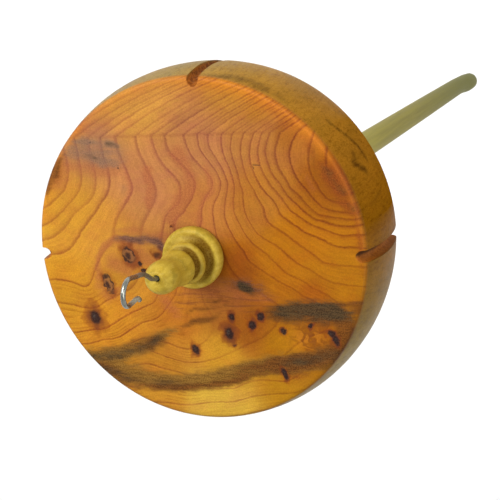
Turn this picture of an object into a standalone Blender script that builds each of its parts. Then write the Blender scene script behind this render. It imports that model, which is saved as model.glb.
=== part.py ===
"""Top-whorl drop spindle: a thick turned whorl near the top of a slender
tapered shaft, a small turned finial seated on the whorl, and a bent wire hook
that stands out of the finial's domed end.

The four pieces share the world Z axis, with the shaft's tip at Z = 0 and the
hook at the top.  They are glued or pressed together, so the spindle spins as
one body.  Neighbouring pieces keep a glue line between them.
"""

import math

import bmesh
import bpy

# --------------------------------------------------------------------------
# Driving dimensions, in metres; angles in degrees
# --------------------------------------------------------------------------
MM = 0.001

GLUE_LINE = 0.3 * MM            # gap kept between neighbouring pieces
SHARP_ANGLE = 35.0              # creases steeper than this stay sharp

# Whorl
WHORL_TOP_Z = 220.0 * MM        # height of its flat top face above the tip
WHORL_THICK = 22.5 * MM
WHORL_BOTTOM_Z = WHORL_TOP_Z - WHORL_THICK
WHORL_R_BELLY = 35.0 * MM       # widest radius
WHORL_BELLY_DEPTH = 9.2 * MM    # depth of the widest ring below the top face
WHORL_DRAW_TOP = 1.4 * MM       # how far the side draws in up to the top edge
WHORL_DRAW_LOW = 1.6 * MM       # how far it draws in down to the lower edge
WHORL_EDGE_TOP = 0.8 * MM       # rounding radius of the crisp top edge
WHORL_EDGE_LOW = 2.0 * MM       # rounding radius of the lower edge
WHORL_LEAN_TOP = 17.0           # lean of the side where it meets each rounding
WHORL_LEAN_LOW = 15.0
WHORL_SIDE_STEPS = 9
DISH_R_OUT = 21.0 * MM          # shallow dish turned into the underside
DISH_R_IN = 13.0 * MM
DISH_DEPTH = 1.4 * MM
DISH_STEPS = 6

# Depths below the top face at which the bulged side starts and ends
SIDE_START = WHORL_EDGE_TOP * (1.0 - math.sin(math.radians(WHORL_LEAN_TOP)))
SIDE_END = WHORL_THICK - WHORL_EDGE_LOW * (1.0 - math.sin(math.radians(WHORL_LEAN_LOW)))

# Yarn notches in the whorl's side
NOTCH_ANGLES = (-2.0, 87.0, 181.0)      # about +Z from +X
NOTCH_R = 1.2 * MM
NOTCH_DEPTH = 1.5 * MM
NOTCH_STRAIGHT = 1.2 * MM       # height above the underside where it runs straight
NOTCH_STEPS = 13                # over the whorl's thickness

# Shaft
SHAFT_R_SEAT = 3.45 * MM        # where it goes through the whorl
SHAFT_R_TIP = 2.34 * MM         # taper's radius carried down to the tip
SHAFT_TAPER_POWER = 1.5
SHAFT_TAPER_STEPS = 11
SHAFT_KNOB = 0.25 * MM          # slight swelling just above the tip
SHAFT_KNOB_Z = 7.0 * MM
SHAFT_KNOB_LEN = 5.5 * MM
SHAFT_KNOB_STATIONS = (14.0, 11.5, 9.0, 7.0, 5.0, 3.5)      # heights, mm
SHAFT_END_ROUND = 2.0 * MM      # height of the rounded end
SHAFT_END_FLAT = 0.9 * MM       # radius of the small flat on the very end
SHAFT_END_ANGLES = (0.0, 22.0, 42.0, 60.0, 75.0, 90.0)      # stations on the rounding
TENON_R = 2.0 * MM
TENON_LEN = 6.0 * MM
TENON_CHAMFER = 0.4 * MM

# Hook; heights are measured up from the whorl's top face
WIRE_R = 0.55 * MM
HOOK_PLANE = 83.0               # about +Z from +X
HOOK_ROOT = 10.4 * MM           # where the wire ends inside the finial
HOOK_BEND_SUNK = 0.3 * MM       # the S-bend starts this far below the finial's top
HOOK_BEND_RISE = 6.2 * MM       # and ends this far above it
HOOK_BEND_STEPS = 10
HOOK_BOW = 2.75 * MM            # how far the rising leg stands off the axis
HOOK_EYE_R = 2.6 * MM           # bend at the top of the crook
HOOK_EYE_Z = 31.9 * MM
HOOK_EYE_OFF = 0.65 * MM        # offset of that bend's centre
HOOK_EYE_SWEEP = 186.0
HOOK_TAIL = 5.2 * MM            # length of the returning leg
HOOK_TAIL_LEAN = 4.0            # its lean towards the axis
HOOK_TAIL_STEPS = 6
HOOK_FLICK = 0.5 * MM           # how far its end turns back outwards
HOOK_FLICK_START = 0.6          # fraction of the leg where that turn starts

# Finial; heights are measured up from the whorl's top face
FINIAL_TOP = 20.0 * MM
FINIAL_CROWN_R = 0.8 * MM       # first ring out from the axis on the dome
FINIAL_CROWN_DROP = 0.08 * MM
FLANGE_R = 5.9 * MM
FLANGE_EDGE_R = 1.15 * MM       # rounding of the flange's rim
FLANGE_EDGE_Z = 1.75 * MM
FLANGE_FOOT_INSET = 1.6 * MM    # flat underside's edge, in from the rim
HOOK_HOLE_R = WIRE_R + GLUE_LINE
HOOK_HOLE_BOTTOM = 10.0 * MM
DRILL_OVERRUN = 2.0 * MM        # how far the hole's cutter clears the finial

# Finial's outer side from the dome down to the flange: (radius, height) in mm
FINIAL_SIDE = (
    (1.5, 19.75), (2.35, 19.2), (2.95, 18.3), (3.2, 17.1), (3.08, 15.6),
    (2.85, 13.9), (2.85, 12.3), (3.02, 10.9), (3.02, 10.2), (2.8, 9.6),
    (2.52, 8.9), (2.5, 8.1), (2.8, 7.3), (3.45, 6.95), (3.65, 6.4),
    (3.75, 5.8), (4.0, 4.9), (4.6, 4.0), (5.2, 3.35), (5.7, 2.9),
)

# Segments around each piece
SEG_WHORL = 80
SEG_FINIAL = 36
SEG_SHAFT = 28
SEG_NOTCH = 16
SEG_DRILL = 16
SEG_WIRE = 10


# --------------------------------------------------------------------------
# Scene helpers
# --------------------------------------------------------------------------
def clear_scene():
    for ob in list(bpy.data.objects):
        bpy.data.objects.remove(ob, do_unlink=True)


def principled(name, colour, roughness, metallic=0.0):
    material = bpy.data.materials.new(name)
    material.use_nodes = True
    shader = material.node_tree.nodes["Principled BSDF"]
    shader.inputs["Base Color"].default_value = (*colour, 1.0)
    shader.inputs["Roughness"].default_value = roughness
    shader.inputs["Metallic"].default_value = metallic
    material.diffuse_color = (*colour, 1.0)
    return material


def add_object(name, data, parent=None, height=0.0, turn=0.0):
    """Link an object on the Z axis, turned about it by an angle in degrees."""
    ob = bpy.data.objects.new(name, data)
    bpy.context.scene.collection.objects.link(ob)
    ob.location = (0.0, 0.0, height)
    ob.rotation_euler = (0.0, 0.0, math.radians(turn))
    ob.parent = parent
    return ob


def evaluated_mesh(ob):
    """A new mesh of the object with its modifiers or bevel applied."""
    bpy.context.view_layer.update()
    depsgraph = bpy.context.evaluated_depsgraph_get()
    return bpy.data.meshes.new_from_object(ob.evaluated_get(depsgraph))


def freeze_and_shade(ob):
    """Apply the modifiers, then shade smooth with the creases left sharp."""
    mesh = evaluated_mesh(ob)
    ob.modifiers.clear()
    ob.data = mesh
    mesh.shade_smooth()
    mesh.set_sharp_from_angle(angle=math.radians(SHARP_ANGLE))


def add_turned(name, profile, segments, material, parent, height, closed=False):
    """A lathe-turned piece: (radius, height) points running down the outer
    side, top to bottom, revolved about the local Z axis."""
    count = len(profile)
    edges = [(i, i + 1) for i in range(count - 1)]
    if closed:
        edges.append((count - 1, 0))
    mesh = bpy.data.meshes.new(name)
    mesh.from_pydata([(radius, 0.0, z) for radius, z in profile], edges, [])
    mesh.materials.append(material)
    ob = add_object(name, mesh, parent, height)
    screw = ob.modifiers.new("turn", "SCREW")
    screw.axis = "Z"
    screw.angle = 2.0 * math.pi
    screw.steps = segments
    screw.render_steps = segments
    screw.use_merge_vertices = True
    screw.merge_threshold = 1e-5
    screw.use_smooth_shade = True
    return ob


def add_cutter(target, modifier_name, name, mesh, parent, height, turn=0.0):
    """A hidden object whose shape is cut from the target."""
    cutter = add_object(name, mesh, parent, height, turn)
    cutter.hide_render = True
    cutter.display_type = "WIRE"
    cut = target.modifiers.new(modifier_name, "BOOLEAN")
    cut.operation = "DIFFERENCE"
    cut.solver = "EXACT"
    cut.object = cutter


def round_bar(name, points, radius, sides):
    """Curve data for a round bar along a poly-line, with filled ends."""
    curve = bpy.data.curves.new(name, "CURVE")
    curve.dimensions = "3D"
    curve.resolution_u = 1
    curve.bevel_depth = radius
    curve.bevel_resolution = sides // 2 - 2     # gives that many sides
    curve.use_fill_caps = True
    spline = curve.splines.new("POLY")
    spline.points.add(len(points) - 1)
    for slot, point in zip(spline.points, points):
        slot.co = (*point, 1.0)
    return curve


# --------------------------------------------------------------------------
# Plane paths
# --------------------------------------------------------------------------
def arc(centre_r, centre_z, radius, start, end, steps):
    """Points (r, z) on a circular arc, angles in degrees from +r."""
    points = []
    for i in range(steps + 1):
        angle = math.radians(start + (end - start) * i / steps)
        points.append((centre_r + radius * math.cos(angle),
                       centre_z + radius * math.sin(angle)))
    return points


def catmull_rom(before, start, end, after, t):
    """One coordinate at fraction t of the way from start to end."""
    return 0.5 * (2 * start + (end - before) * t
                  + (2 * before - 5 * start + 4 * end - after) * t * t
                  + (3 * start - 3 * end + after - before) * t ** 3)


def smooth_path(keys, steps):
    """Catmull-Rom path through key points (r, z)."""
    padded = [keys[0], *keys, keys[-1]]
    points = []
    for i in range(len(keys) - 1):
        for step in range(steps):
            points.append(tuple(catmull_rom(*coords, step / steps)
                                for coords in zip(*padded[i:i + 4])))
    points.append(keys[-1])
    return points


# --------------------------------------------------------------------------
# Shaft
# --------------------------------------------------------------------------
def shaft_radius(z):
    """Radius of the tapered shaft at a height above its tip."""
    below_seat = max(0.0, 1.0 - z / WHORL_BOTTOM_Z)
    taper = 1.0 - below_seat ** SHAFT_TAPER_POWER
    radius = SHAFT_R_TIP + (SHAFT_R_SEAT - SHAFT_R_TIP) * taper
    radius += SHAFT_KNOB * math.exp(-((z - SHAFT_KNOB_Z) / SHAFT_KNOB_LEN) ** 2)
    if z < SHAFT_END_ROUND:
        down = 1.0 - z / SHAFT_END_ROUND
        bulge = math.sqrt(max(0.0, 1.0 - down * down))
        radius = SHAFT_END_FLAT + (radius - SHAFT_END_FLAT) * bulge
    return radius


def shaft_profile():
    """Open section from the tenon's top on the axis down to the tip."""
    tenon_top = WHORL_TOP_Z + TENON_LEN
    heights = [WHORL_BOTTOM_Z * (1.0 - i / SHAFT_TAPER_STEPS)
               for i in range(1, SHAFT_TAPER_STEPS)]
    heights += [station * MM for station in SHAFT_KNOB_STATIONS]
    heights += [SHAFT_END_ROUND * (1.0 - math.sin(math.radians(angle)))
                for angle in SHAFT_END_ANGLES]
    return [
        (0.0, tenon_top),
        (TENON_R - TENON_CHAMFER, tenon_top),
        (TENON_R, tenon_top - TENON_CHAMFER),
        (TENON_R, WHORL_TOP_Z),
        (SHAFT_R_SEAT, WHORL_TOP_Z),
        (SHAFT_R_SEAT, WHORL_BOTTOM_Z),
        *((shaft_radius(z), z) for z in heights),
        (0.0, 0.0),
    ]


def build_shaft(axis):
    boxwood = principled("boxwood_shaft", colour=(0.42, 0.33, 0.13), roughness=0.45)
    return add_turned("shaft", shaft_profile(), SEG_SHAFT, boxwood, axis, height=0.0)


# --------------------------------------------------------------------------
# Whorl
# --------------------------------------------------------------------------
def whorl_side(depth):
    """Radius of the whorl's bulged side at a depth below its top face."""
    if depth < WHORL_BELLY_DEPTH:
        away = (WHORL_BELLY_DEPTH - depth) / WHORL_BELLY_DEPTH
        return WHORL_R_BELLY - WHORL_DRAW_TOP * away * away
    away = (depth - WHORL_BELLY_DEPTH) / (SIDE_END - WHORL_BELLY_DEPTH)
    return WHORL_R_BELLY - WHORL_DRAW_LOW * away * away


def whorl_profile():
    """Closed section, local Z = 0 on the underside's flat ring."""
    bore = SHAFT_R_SEAT + GLUE_LINE
    top_edge_r = (whorl_side(SIDE_START)
                  - WHORL_EDGE_TOP * math.cos(math.radians(WHORL_LEAN_TOP)))
    low_edge_r = (whorl_side(SIDE_END)
                  - WHORL_EDGE_LOW * math.cos(math.radians(WHORL_LEAN_LOW)))
    points = [(bore, WHORL_THICK)]
    points += arc(top_edge_r, WHORL_THICK - WHORL_EDGE_TOP, WHORL_EDGE_TOP,
                  start=90.0, end=WHORL_LEAN_TOP, steps=4)
    for i in range(1, WHORL_SIDE_STEPS):
        depth = SIDE_START + (SIDE_END - SIDE_START) * i / WHORL_SIDE_STEPS
        points.append((whorl_side(depth), WHORL_THICK - depth))
    points += arc(low_edge_r, WHORL_EDGE_LOW, WHORL_EDGE_LOW,
                  start=-WHORL_LEAN_LOW, end=-90.0, steps=5)
    for i in range(DISH_STEPS + 1):
        inward = i / DISH_STEPS
        points.append((DISH_R_OUT + (DISH_R_IN - DISH_R_OUT) * inward,
                       DISH_DEPTH * 0.5 * (1.0 - math.cos(math.pi * inward))))
    points.append((bore, DISH_DEPTH))
    return points


def notch_path():
    """Centre line of a notch's cutter: it follows the bulge at a constant
    depth and runs one step past each face."""
    points = []
    for i in range(-1, NOTCH_STEPS + 2):
        depth = WHORL_THICK * i / NOTCH_STEPS
        held = min(max(depth, 0.0), WHORL_THICK - NOTCH_STRAIGHT)
        points.append((whorl_side(held) - NOTCH_DEPTH + NOTCH_R, 0.0, WHORL_THICK - depth))
    return points


def build_whorl(axis):
    yew = principled("yew_heartwood", colour=(0.50, 0.22, 0.06), roughness=0.42)
    whorl = add_turned("whorl", whorl_profile(), SEG_WHORL, yew, axis,
                       height=WHORL_BOTTOM_Z, closed=True)
    for number, angle in enumerate(NOTCH_ANGLES, 1):
        name = f"notch_cutter_{number}"
        # The boolean needs a mesh, so a temporary curve object is converted
        curve = round_bar(name, notch_path(), NOTCH_R, SEG_NOTCH)
        guide = add_object(name, curve, axis, WHORL_BOTTOM_Z, angle)
        mesh = evaluated_mesh(guide)
        bpy.data.objects.remove(guide, do_unlink=True)
        add_cutter(whorl, f"notch_{number}", name, mesh, axis, WHORL_BOTTOM_Z, angle)
    return whorl


# --------------------------------------------------------------------------
# Finial
# --------------------------------------------------------------------------
def finial_profile():
    """Open section: from the dome's top on the axis down the outer side to
    the flange, then up the tenon's socket to the axis."""
    socket_r = TENON_R + GLUE_LINE
    socket_top = TENON_LEN + GLUE_LINE
    side = [(radius * MM, height * MM) for radius, height in FINIAL_SIDE]
    return [
        (0.0, FINIAL_TOP),
        (FINIAL_CROWN_R, FINIAL_TOP - FINIAL_CROWN_DROP),
        *smooth_path(side, steps=2),
        *arc(FLANGE_R - FLANGE_EDGE_R, FLANGE_EDGE_Z, FLANGE_EDGE_R,
             start=20.0, end=-75.0, steps=6),
        (FLANGE_R - FLANGE_FOOT_INSET, GLUE_LINE),
        (socket_r, GLUE_LINE),
        (socket_r, socket_top),
        (0.0, socket_top),
    ]


def drill_mesh(name, depth):
    drill = bmesh.new()
    bmesh.ops.create_cone(drill, cap_ends=True, cap_tris=False, segments=SEG_DRILL,
                          radius1=HOOK_HOLE_R, radius2=HOOK_HOLE_R, depth=depth)
    mesh = bpy.data.meshes.new(name)
    drill.to_mesh(mesh)
    drill.free()
    return mesh


def build_finial(axis):
    boxwood = principled("boxwood_finial", colour=(0.50, 0.34, 0.07), roughness=0.40)
    finial = add_turned("finial", finial_profile(), SEG_FINIAL, boxwood, axis,
                        height=WHORL_TOP_Z)
    name = "hook_hole_cutter"
    depth = FINIAL_TOP - HOOK_HOLE_BOTTOM + DRILL_OVERRUN
    add_cutter(finial, "hook_hole", name, drill_mesh(name, depth), axis,
               height=WHORL_TOP_Z + HOOK_HOLE_BOTTOM + 0.5 * depth)
    return finial


# --------------------------------------------------------------------------
# Hook
# --------------------------------------------------------------------------
def hook_path():
    """The wire's centre line as (offset, height) pairs: a straight root, an
    S-bend out to the rising leg, the round crook and the returning leg."""
    bend_low = FINIAL_TOP - HOOK_BEND_SUNK
    bend_high = FINIAL_TOP + HOOK_BEND_RISE
    points = [(0.0, HOOK_ROOT), (0.0, 0.5 * (HOOK_ROOT + bend_low))]
    for i in range(HOOK_BEND_STEPS + 1):
        along = i / HOOK_BEND_STEPS
        points.append((HOOK_BOW * (along * along * (3.0 - 2.0 * along)),
                       bend_low + (bend_high - bend_low) * along))
    points += arc(HOOK_EYE_OFF, HOOK_EYE_Z, HOOK_EYE_R,
                  start=0.0, end=HOOK_EYE_SWEEP, steps=14)
    tail_offset, tail_top = points[-1]
    lean = math.radians(HOOK_TAIL_LEAN)
    for i in range(1, HOOK_TAIL_STEPS + 1):
        along = i / HOOK_TAIL_STEPS
        turned = max(0.0, (along - HOOK_FLICK_START) / (1.0 - HOOK_FLICK_START))
        points.append((tail_offset + math.sin(lean) * HOOK_TAIL * along
                       - HOOK_FLICK * turned ** 2,
                       tail_top - math.cos(lean) * HOOK_TAIL * along))
    return points


def build_hook(axis):
    steel = principled("bright_steel_wire", colour=(0.62, 0.63, 0.65),
                       roughness=0.22, metallic=1.0)
    plane = math.radians(HOOK_PLANE)
    points = [(offset * math.cos(plane), offset * math.sin(plane), height)
              for offset, height in hook_path()]
    wire = round_bar("hook", points, WIRE_R, SEG_WIRE)
    wire.materials.append(steel)
    add_object("hook", wire, axis, height=WHORL_TOP_Z)


# --------------------------------------------------------------------------
# Assembly
# --------------------------------------------------------------------------
def build_axis():
    """The empty that carries every piece."""
    axis = add_object("spindle_axis", None)
    axis.empty_display_type = "SINGLE_ARROW"
    axis.empty_display_size = 0.05
    return axis


def main():
    clear_scene()
    axis = build_axis()
    turned_pieces = [build_shaft(axis), build_whorl(axis), build_finial(axis)]
    build_hook(axis)
    for piece in turned_pieces:
        freeze_and_shade(piece)


main()
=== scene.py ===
"""Top-whorl hand spindle: a figured yew whorl on a boxwood shaft, with a turned
boxwood finial and a bent wire hook.

It stands upright: the shaft's axis is Z, its tip is at the bottom and the hook at
the top.  Shapes are worked out in millimetres and turned into metres at the end.
"""
from math import cos, exp, pi, radians, sin, sqrt
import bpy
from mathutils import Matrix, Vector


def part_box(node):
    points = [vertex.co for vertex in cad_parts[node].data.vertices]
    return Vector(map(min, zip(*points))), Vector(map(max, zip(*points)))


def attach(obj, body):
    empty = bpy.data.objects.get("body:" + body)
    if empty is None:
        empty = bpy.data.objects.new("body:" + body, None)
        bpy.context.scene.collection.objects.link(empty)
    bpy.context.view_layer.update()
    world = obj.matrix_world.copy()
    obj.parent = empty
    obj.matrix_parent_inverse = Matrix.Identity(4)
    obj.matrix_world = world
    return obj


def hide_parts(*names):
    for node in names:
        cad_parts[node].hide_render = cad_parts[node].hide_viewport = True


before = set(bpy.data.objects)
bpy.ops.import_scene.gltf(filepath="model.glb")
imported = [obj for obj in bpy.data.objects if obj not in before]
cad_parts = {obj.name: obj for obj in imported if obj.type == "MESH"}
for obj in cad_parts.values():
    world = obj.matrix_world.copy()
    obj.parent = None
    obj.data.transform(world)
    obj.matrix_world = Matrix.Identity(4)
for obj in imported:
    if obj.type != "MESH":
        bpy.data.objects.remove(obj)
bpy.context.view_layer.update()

from types import SimpleNamespace

import bmesh
import bpy
import numpy as np
from mathutils import Matrix, Vector

# ---------------------------------------------------------------------------
# Frame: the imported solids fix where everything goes
# ---------------------------------------------------------------------------
MM = 0.001
whorl_low, whorl_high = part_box("whorl")
shaft_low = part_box("shaft")[0]
finial_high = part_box("finial")[1]
Z_TOP = whorl_high.z / MM                       # the whorl's top face
THICK = (whorl_high.z - whorl_low.z) / MM
R_BELLY = (whorl_high.y - whorl_low.y) / MM / 2.0
FINIAL_H = finial_high.z / MM - Z_TOP


# ---------------------------------------------------------------------------
# Small helpers
# ---------------------------------------------------------------------------
def srgb(*levels):
    """sRGB 0..255 to linear."""
    shares = [level / 255.0 for level in levels]
    return tuple(c / 12.92 if c <= 0.04045 else ((c + 0.055) / 1.055) ** 2.4 for c in shares)


def march(start, stop, step):
    """Values from start towards stop, which is left out."""
    while (stop - start) * step > 0.0:
        yield start
        start += step


def wrap(angle):
    """The angle brought into -pi..pi."""
    return (angle + pi) % (2 * pi) - pi


def unit(values):
    return np.clip(values, 0.0, 1.0)


def bell(distance, width, power=2):
    return np.exp(-(distance / width) ** power)


def blob(x, y, center, size, power=1):
    """An elliptical soft spot, 1 in the middle."""
    square = ((x - center[0]) / size[0]) ** 2 + ((y - center[1]) / size[1]) ** 2
    return np.exp(-square ** power)


def lookup(values, table):
    """Straight-line reading of a table of (place, value) pairs."""
    return np.interp(values, *zip(*table))


def spline(keys, step):
    """Catmull-Rom curve through 2D keys, with a point about every step mm."""
    keys = [np.array(key, float) for key in [keys[0], *keys, keys[-1]]]
    points = []
    for i in range(1, len(keys) - 2):
        before, start, end, after = keys[i - 1:i + 3]
        count = max(1, int(round(np.linalg.norm(end - start) / step)))
        for k in range(count):
            t = k / count
            points.append(0.5 * (2 * start + (end - before) * t
                                 + (2 * before - 5 * start + 4 * end - after) * t * t
                                 + (3 * start - 3 * end + after - before) * t ** 3))
    points.append(keys[-1])
    return [tuple(point) for point in points]


def arc(center, radius, start, end, steps):
    """Points on a circle, angles in degrees."""
    angles = [radians(start + (end - start) * i / steps) for i in range(steps + 1)]
    return [(center[0] + radius * cos(a), center[1] + radius * sin(a)) for a in angles]


# ---------------------------------------------------------------------------
# Mesh helpers
# ---------------------------------------------------------------------------
def bridge(rings):
    """Faces between neighbouring rings; a ring of one vertex makes a fan."""
    faces = []
    for first, second in zip(rings, rings[1:]):
        count = max(len(first), len(second))
        for k in range(count):
            n = (k + 1) % count
            if len(first) == 1:
                faces.append((first[0], second[k], second[n]))
            elif len(second) == 1:
                faces.append((first[k], second[0], first[n]))
            else:
                faces.append((first[k], second[k], second[n], first[n]))
    return faces


def solid(name, rings, closed=False):
    """A smooth object skinned over rings of points in mm; closed joins last to first."""
    points, numbered = [], []
    for ring in rings:
        numbered.append(range(len(points), len(points) + len(ring)))
        points += list(ring)
    if closed:
        numbered.append(numbered[0])
    mesh = bpy.data.meshes.new(name)
    mesh.from_pydata((np.array(points) * MM).tolist(), [], bridge(numbered))
    bm = bmesh.new()
    bm.from_mesh(mesh)
    bmesh.ops.remove_doubles(bm, verts=bm.verts, dist=1e-7)
    bmesh.ops.recalc_face_normals(bm, faces=bm.faces)
    bm.to_mesh(mesh)
    bm.free()
    mesh.shade_smooth()
    ob = bpy.data.objects.new(name, mesh)
    bpy.context.scene.collection.objects.link(ob)
    return ob


def revolve(name, profile, columns, wobble=lambda angle, z: 0.0):
    """A turned solid from (radius, height) points that start and end on the axis."""
    angles = [2.0 * pi * k / columns for k in range(columns)]
    rings = []
    for radius, z in profile:
        if radius <= 1e-6:
            rings.append([(0.0, 0.0, z)])
            continue
        radii = [radius + wobble(a, z) for a in angles]
        rings.append([(r * cos(a), r * sin(a), z) for r, a in zip(radii, angles)])
    return solid(name, rings)


def set_attr(ob, name, values):
    """A per-vertex float, or a colour where values has three columns."""
    values = np.asarray(values, np.float32)
    if values.ndim == 1:
        attribute = ob.data.attributes.new(name, "FLOAT", "POINT")
        attribute.data.foreach_set("value", values)
    else:
        attribute = ob.data.attributes.new(name, "FLOAT_COLOR", "POINT")
        rgba = np.ones((len(values), 4), np.float32)
        rgba[:, :3] = values
        attribute.data.foreach_set("color", rgba.ravel())


def points_mm(ob):
    flat = np.zeros(len(ob.data.vertices) * 3)
    ob.data.vertices.foreach_get("co", flat)
    return flat.reshape(-1, 3) / MM


# ---------------------------------------------------------------------------
# Shader helpers
# ---------------------------------------------------------------------------
class Signal:
    """A shader output; each arithmetic operation on it adds one math node."""

    def __init__(self, net, socket):
        self.net = net
        self.socket = socket

    def operate(self, op, first, second):
        single = self.socket.type == "VALUE"
        return (self.net.math if single else self.net.vector)(op, first, second)

    def __add__(self, other):
        return self.operate("ADD", self, other)

    def __radd__(self, other):
        return self.operate("ADD", other, self)

    def __sub__(self, other):
        return self.operate("SUBTRACT", self, other)

    def __rsub__(self, other):
        return self.operate("SUBTRACT", other, self)

    def __mul__(self, other):
        return self.operate("MULTIPLY", self, other)

    def __truediv__(self, other):
        return self.operate("DIVIDE", self, other)

    def __rtruediv__(self, other):
        return self.operate("DIVIDE", other, self)

    def __abs__(self):
        return self.net.math("ABSOLUTE", self)


class Net:
    """A material with one Principled shader, and methods that add nodes to it."""

    def __init__(self, name):
        self.material = bpy.data.materials.new(name)
        self.material.use_nodes = True
        self.tree = self.material.node_tree
        self.tree.nodes.clear()
        output = self.tree.nodes.new("ShaderNodeOutputMaterial")
        self.bsdf = self.tree.nodes.new("ShaderNodeBsdfPrincipled")
        self.tree.links.new(self.bsdf.outputs[0], output.inputs[0])

    def put(self, socket, value):
        if isinstance(value, Signal):
            self.tree.links.new(value.socket, socket)
        elif isinstance(value, tuple):
            # colour sockets get an alpha of 1
            socket.default_value = (value + (1.0,))[:len(socket.default_value)]
        else:
            socket.default_value = value

    def add(self, kind, inputs, output=0, **settings):
        """A node with its inputs, by name or number, and settings; returns one output."""
        node = self.tree.nodes.new(kind)
        for key, value in settings.items():
            setattr(node, key, value)
        for key, value in inputs.items():
            self.put(node.inputs[key], value)
        return Signal(self, node.outputs[output])

    def surface(self, inputs):
        for name, value in inputs.items():
            self.put(self.bsdf.inputs[name], value)

    def math(self, op, first, second=0.0):
        return self.add("ShaderNodeMath", {0: first, 1: second, 2: 0.0}, operation=op)

    def max(self, first, second):
        return self.math("MAXIMUM", first, second)

    def min(self, first, second):
        return self.math("MINIMUM", first, second)

    def fract(self, value):
        return self.math("FRACT", value)

    def vector(self, op, first, second=(0.0, 0.0, 0.0)):
        output = "Value" if op in ("LENGTH", "DOT_PRODUCT") else 0
        return self.add("ShaderNodeVectorMath", {0: first, 1: second}, output, operation=op)

    def scale(self, vector, factor):
        """A vector or colour times a plain number."""
        return self.add("ShaderNodeVectorMath", {0: vector, "Scale": factor}, operation="SCALE")

    def noise(self, vector, scale=1.0, detail=2.0, rough=0.5, color=False):
        inputs = {"Vector": vector, "Scale": scale, "Detail": detail, "Roughness": rough}
        return self.add("ShaderNodeTexNoise", inputs, "Color" if color else "Fac")

    def white(self, value):
        return self.add("ShaderNodeTexWhiteNoise", {"W": value}, "Value", noise_dimensions="1D")

    def ramp(self, value, start, end, out=(0.0, 1.0), smooth=True):
        """Carries start..end over to out[0]..out[1] and holds the ends."""
        inputs = {"Value": value, "From Min": start, "From Max": end,
                  "To Min": out[0], "To Max": out[1]}
        return self.add("ShaderNodeMapRange", inputs, "Result", clamp=True,
                        interpolation_type="SMOOTHSTEP" if smooth else "LINEAR")

    def mix(self, amount, first, second, blend="MIX"):
        return self.add("ShaderNodeMix", {0: amount, 6: first, 7: second}, 2,
                        data_type="RGBA", blend_type=blend)

    def times(self, color, factors):
        """A colour with each channel multiplied."""
        return self.mix(1.0, color, factors, "MULTIPLY")

    def tint(self, color, amount, factors):
        """Moves a colour by amount towards itself times factors."""
        return self.mix(amount, color, self.times(color, factors))

    def attr(self, name, color=False):
        return self.add("ShaderNodeAttribute", {}, "Color" if color else "Fac",
                        attribute_name=name)

    def object_mm(self):
        return self.scale(self.add("ShaderNodeTexCoord", {}, "Object"), 1000.0)

    def split(self, vector):
        node = self.tree.nodes.new("ShaderNodeSeparateXYZ")
        self.put(node.inputs[0], vector)
        return [Signal(self, output) for output in node.outputs]

    def join(self, x, y, z):
        return self.add("ShaderNodeCombineXYZ", {0: x, 1: y, 2: z})

    def bump(self, height, distance, strength):
        inputs = {"Height": height, "Distance": distance, "Strength": strength}
        return self.add("ShaderNodeBump", inputs)


# ---------------------------------------------------------------------------
# Whorl: shape.  Depth is measured down from the top face.
# ---------------------------------------------------------------------------
BELLY_DEPTH = 9.2                   # where the side is widest
TOP_DRAW, LOW_DRAW = 1.4, 1.6       # how far the side draws in above and below that
TOP_ROUND, LOW_ROUND = 0.75, 2.0    # radii of the rounded edges
TOP_TILT, LOW_TILT = radians(17.0), radians(15.0)   # where the rounds meet the side
SIDE_START = TOP_ROUND * (1.0 - sin(TOP_TILT))      # depth range of the side
SIDE_END = THICK - LOW_ROUND * (1.0 - sin(LOW_TILT))
NOTCHES = [radians(angle) for angle in (-2.0, 86.2, 180.9)]
NOTCH_W, NOTCH_D = 1.25, 1.65       # half-width and depth of a notch
NOTCH_IN_TOP, NOTCH_IN_LOW = 30.2, 29.0     # radii from which notches pull the faces in
BORE_R = 3.5
RECESS_R, RECESS_SLOPE, RECESS_DEPTH = 21.0, 8.0, 1.4   # dish in the underside


def side_radius(depth):
    if depth < BELLY_DEPTH:
        return R_BELLY - TOP_DRAW * ((BELLY_DEPTH - depth) / BELLY_DEPTH) ** 2
    return R_BELLY - LOW_DRAW * ((depth - BELLY_DEPTH) / (SIDE_END - BELLY_DEPTH)) ** 2


def whorl_profile():
    """A closed outline: (radius, height above the underside, share of the notches)"""
    top_x = side_radius(SIDE_START) - TOP_ROUND * cos(TOP_TILT)
    low_x = side_radius(SIDE_END) - LOW_ROUND * cos(LOW_TILT)
    top_z = THICK - TOP_ROUND
    points = [(BORE_R, THICK - 0.15, 0.0), (BORE_R + 0.15, THICK, 0.0)]
    for r in march(4.2, top_x - 0.3, 0.62):
        points.append((r, THICK, max(0.0, (r - NOTCH_IN_TOP) / (top_x - NOTCH_IN_TOP))))
    points += [(r, z, 1.0) for r, z in arc((top_x, top_z), TOP_ROUND, 90.0, 17.0, 6)]
    side_steps = 34
    for i in range(1, side_steps):
        depth = SIDE_START + (SIDE_END - SIDE_START) * i / side_steps
        points.append((side_radius(depth), THICK - depth, 1.0))
    points += [(r, z, 1.0) for r, z in arc((low_x, LOW_ROUND), LOW_ROUND, -15.0, -90.0, 8)]
    for r in march(low_x - 0.5, RECESS_R, -0.95):
        points.append((r, 0.0, max(0.0, (r - NOTCH_IN_LOW) / (low_x - NOTCH_IN_LOW))))
    for i in range(15):
        u = i / 14.0
        height = RECESS_DEPTH * 0.5 * (1.0 - cos(pi * u))
        points.append((RECESS_R - RECESS_SLOPE * u, height, 0.0))
    points += [(r, RECESS_DEPTH, 0.0) for r in march(12.0, BORE_R + 0.5, -1.1)]
    points += [(BORE_R + 0.25, RECESS_DEPTH, 0.0), (BORE_R, RECESS_DEPTH + 0.25, 0.0),
               (BORE_R, 9.0, 0.0), (BORE_R, 16.0, 0.0)]
    return points


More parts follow.
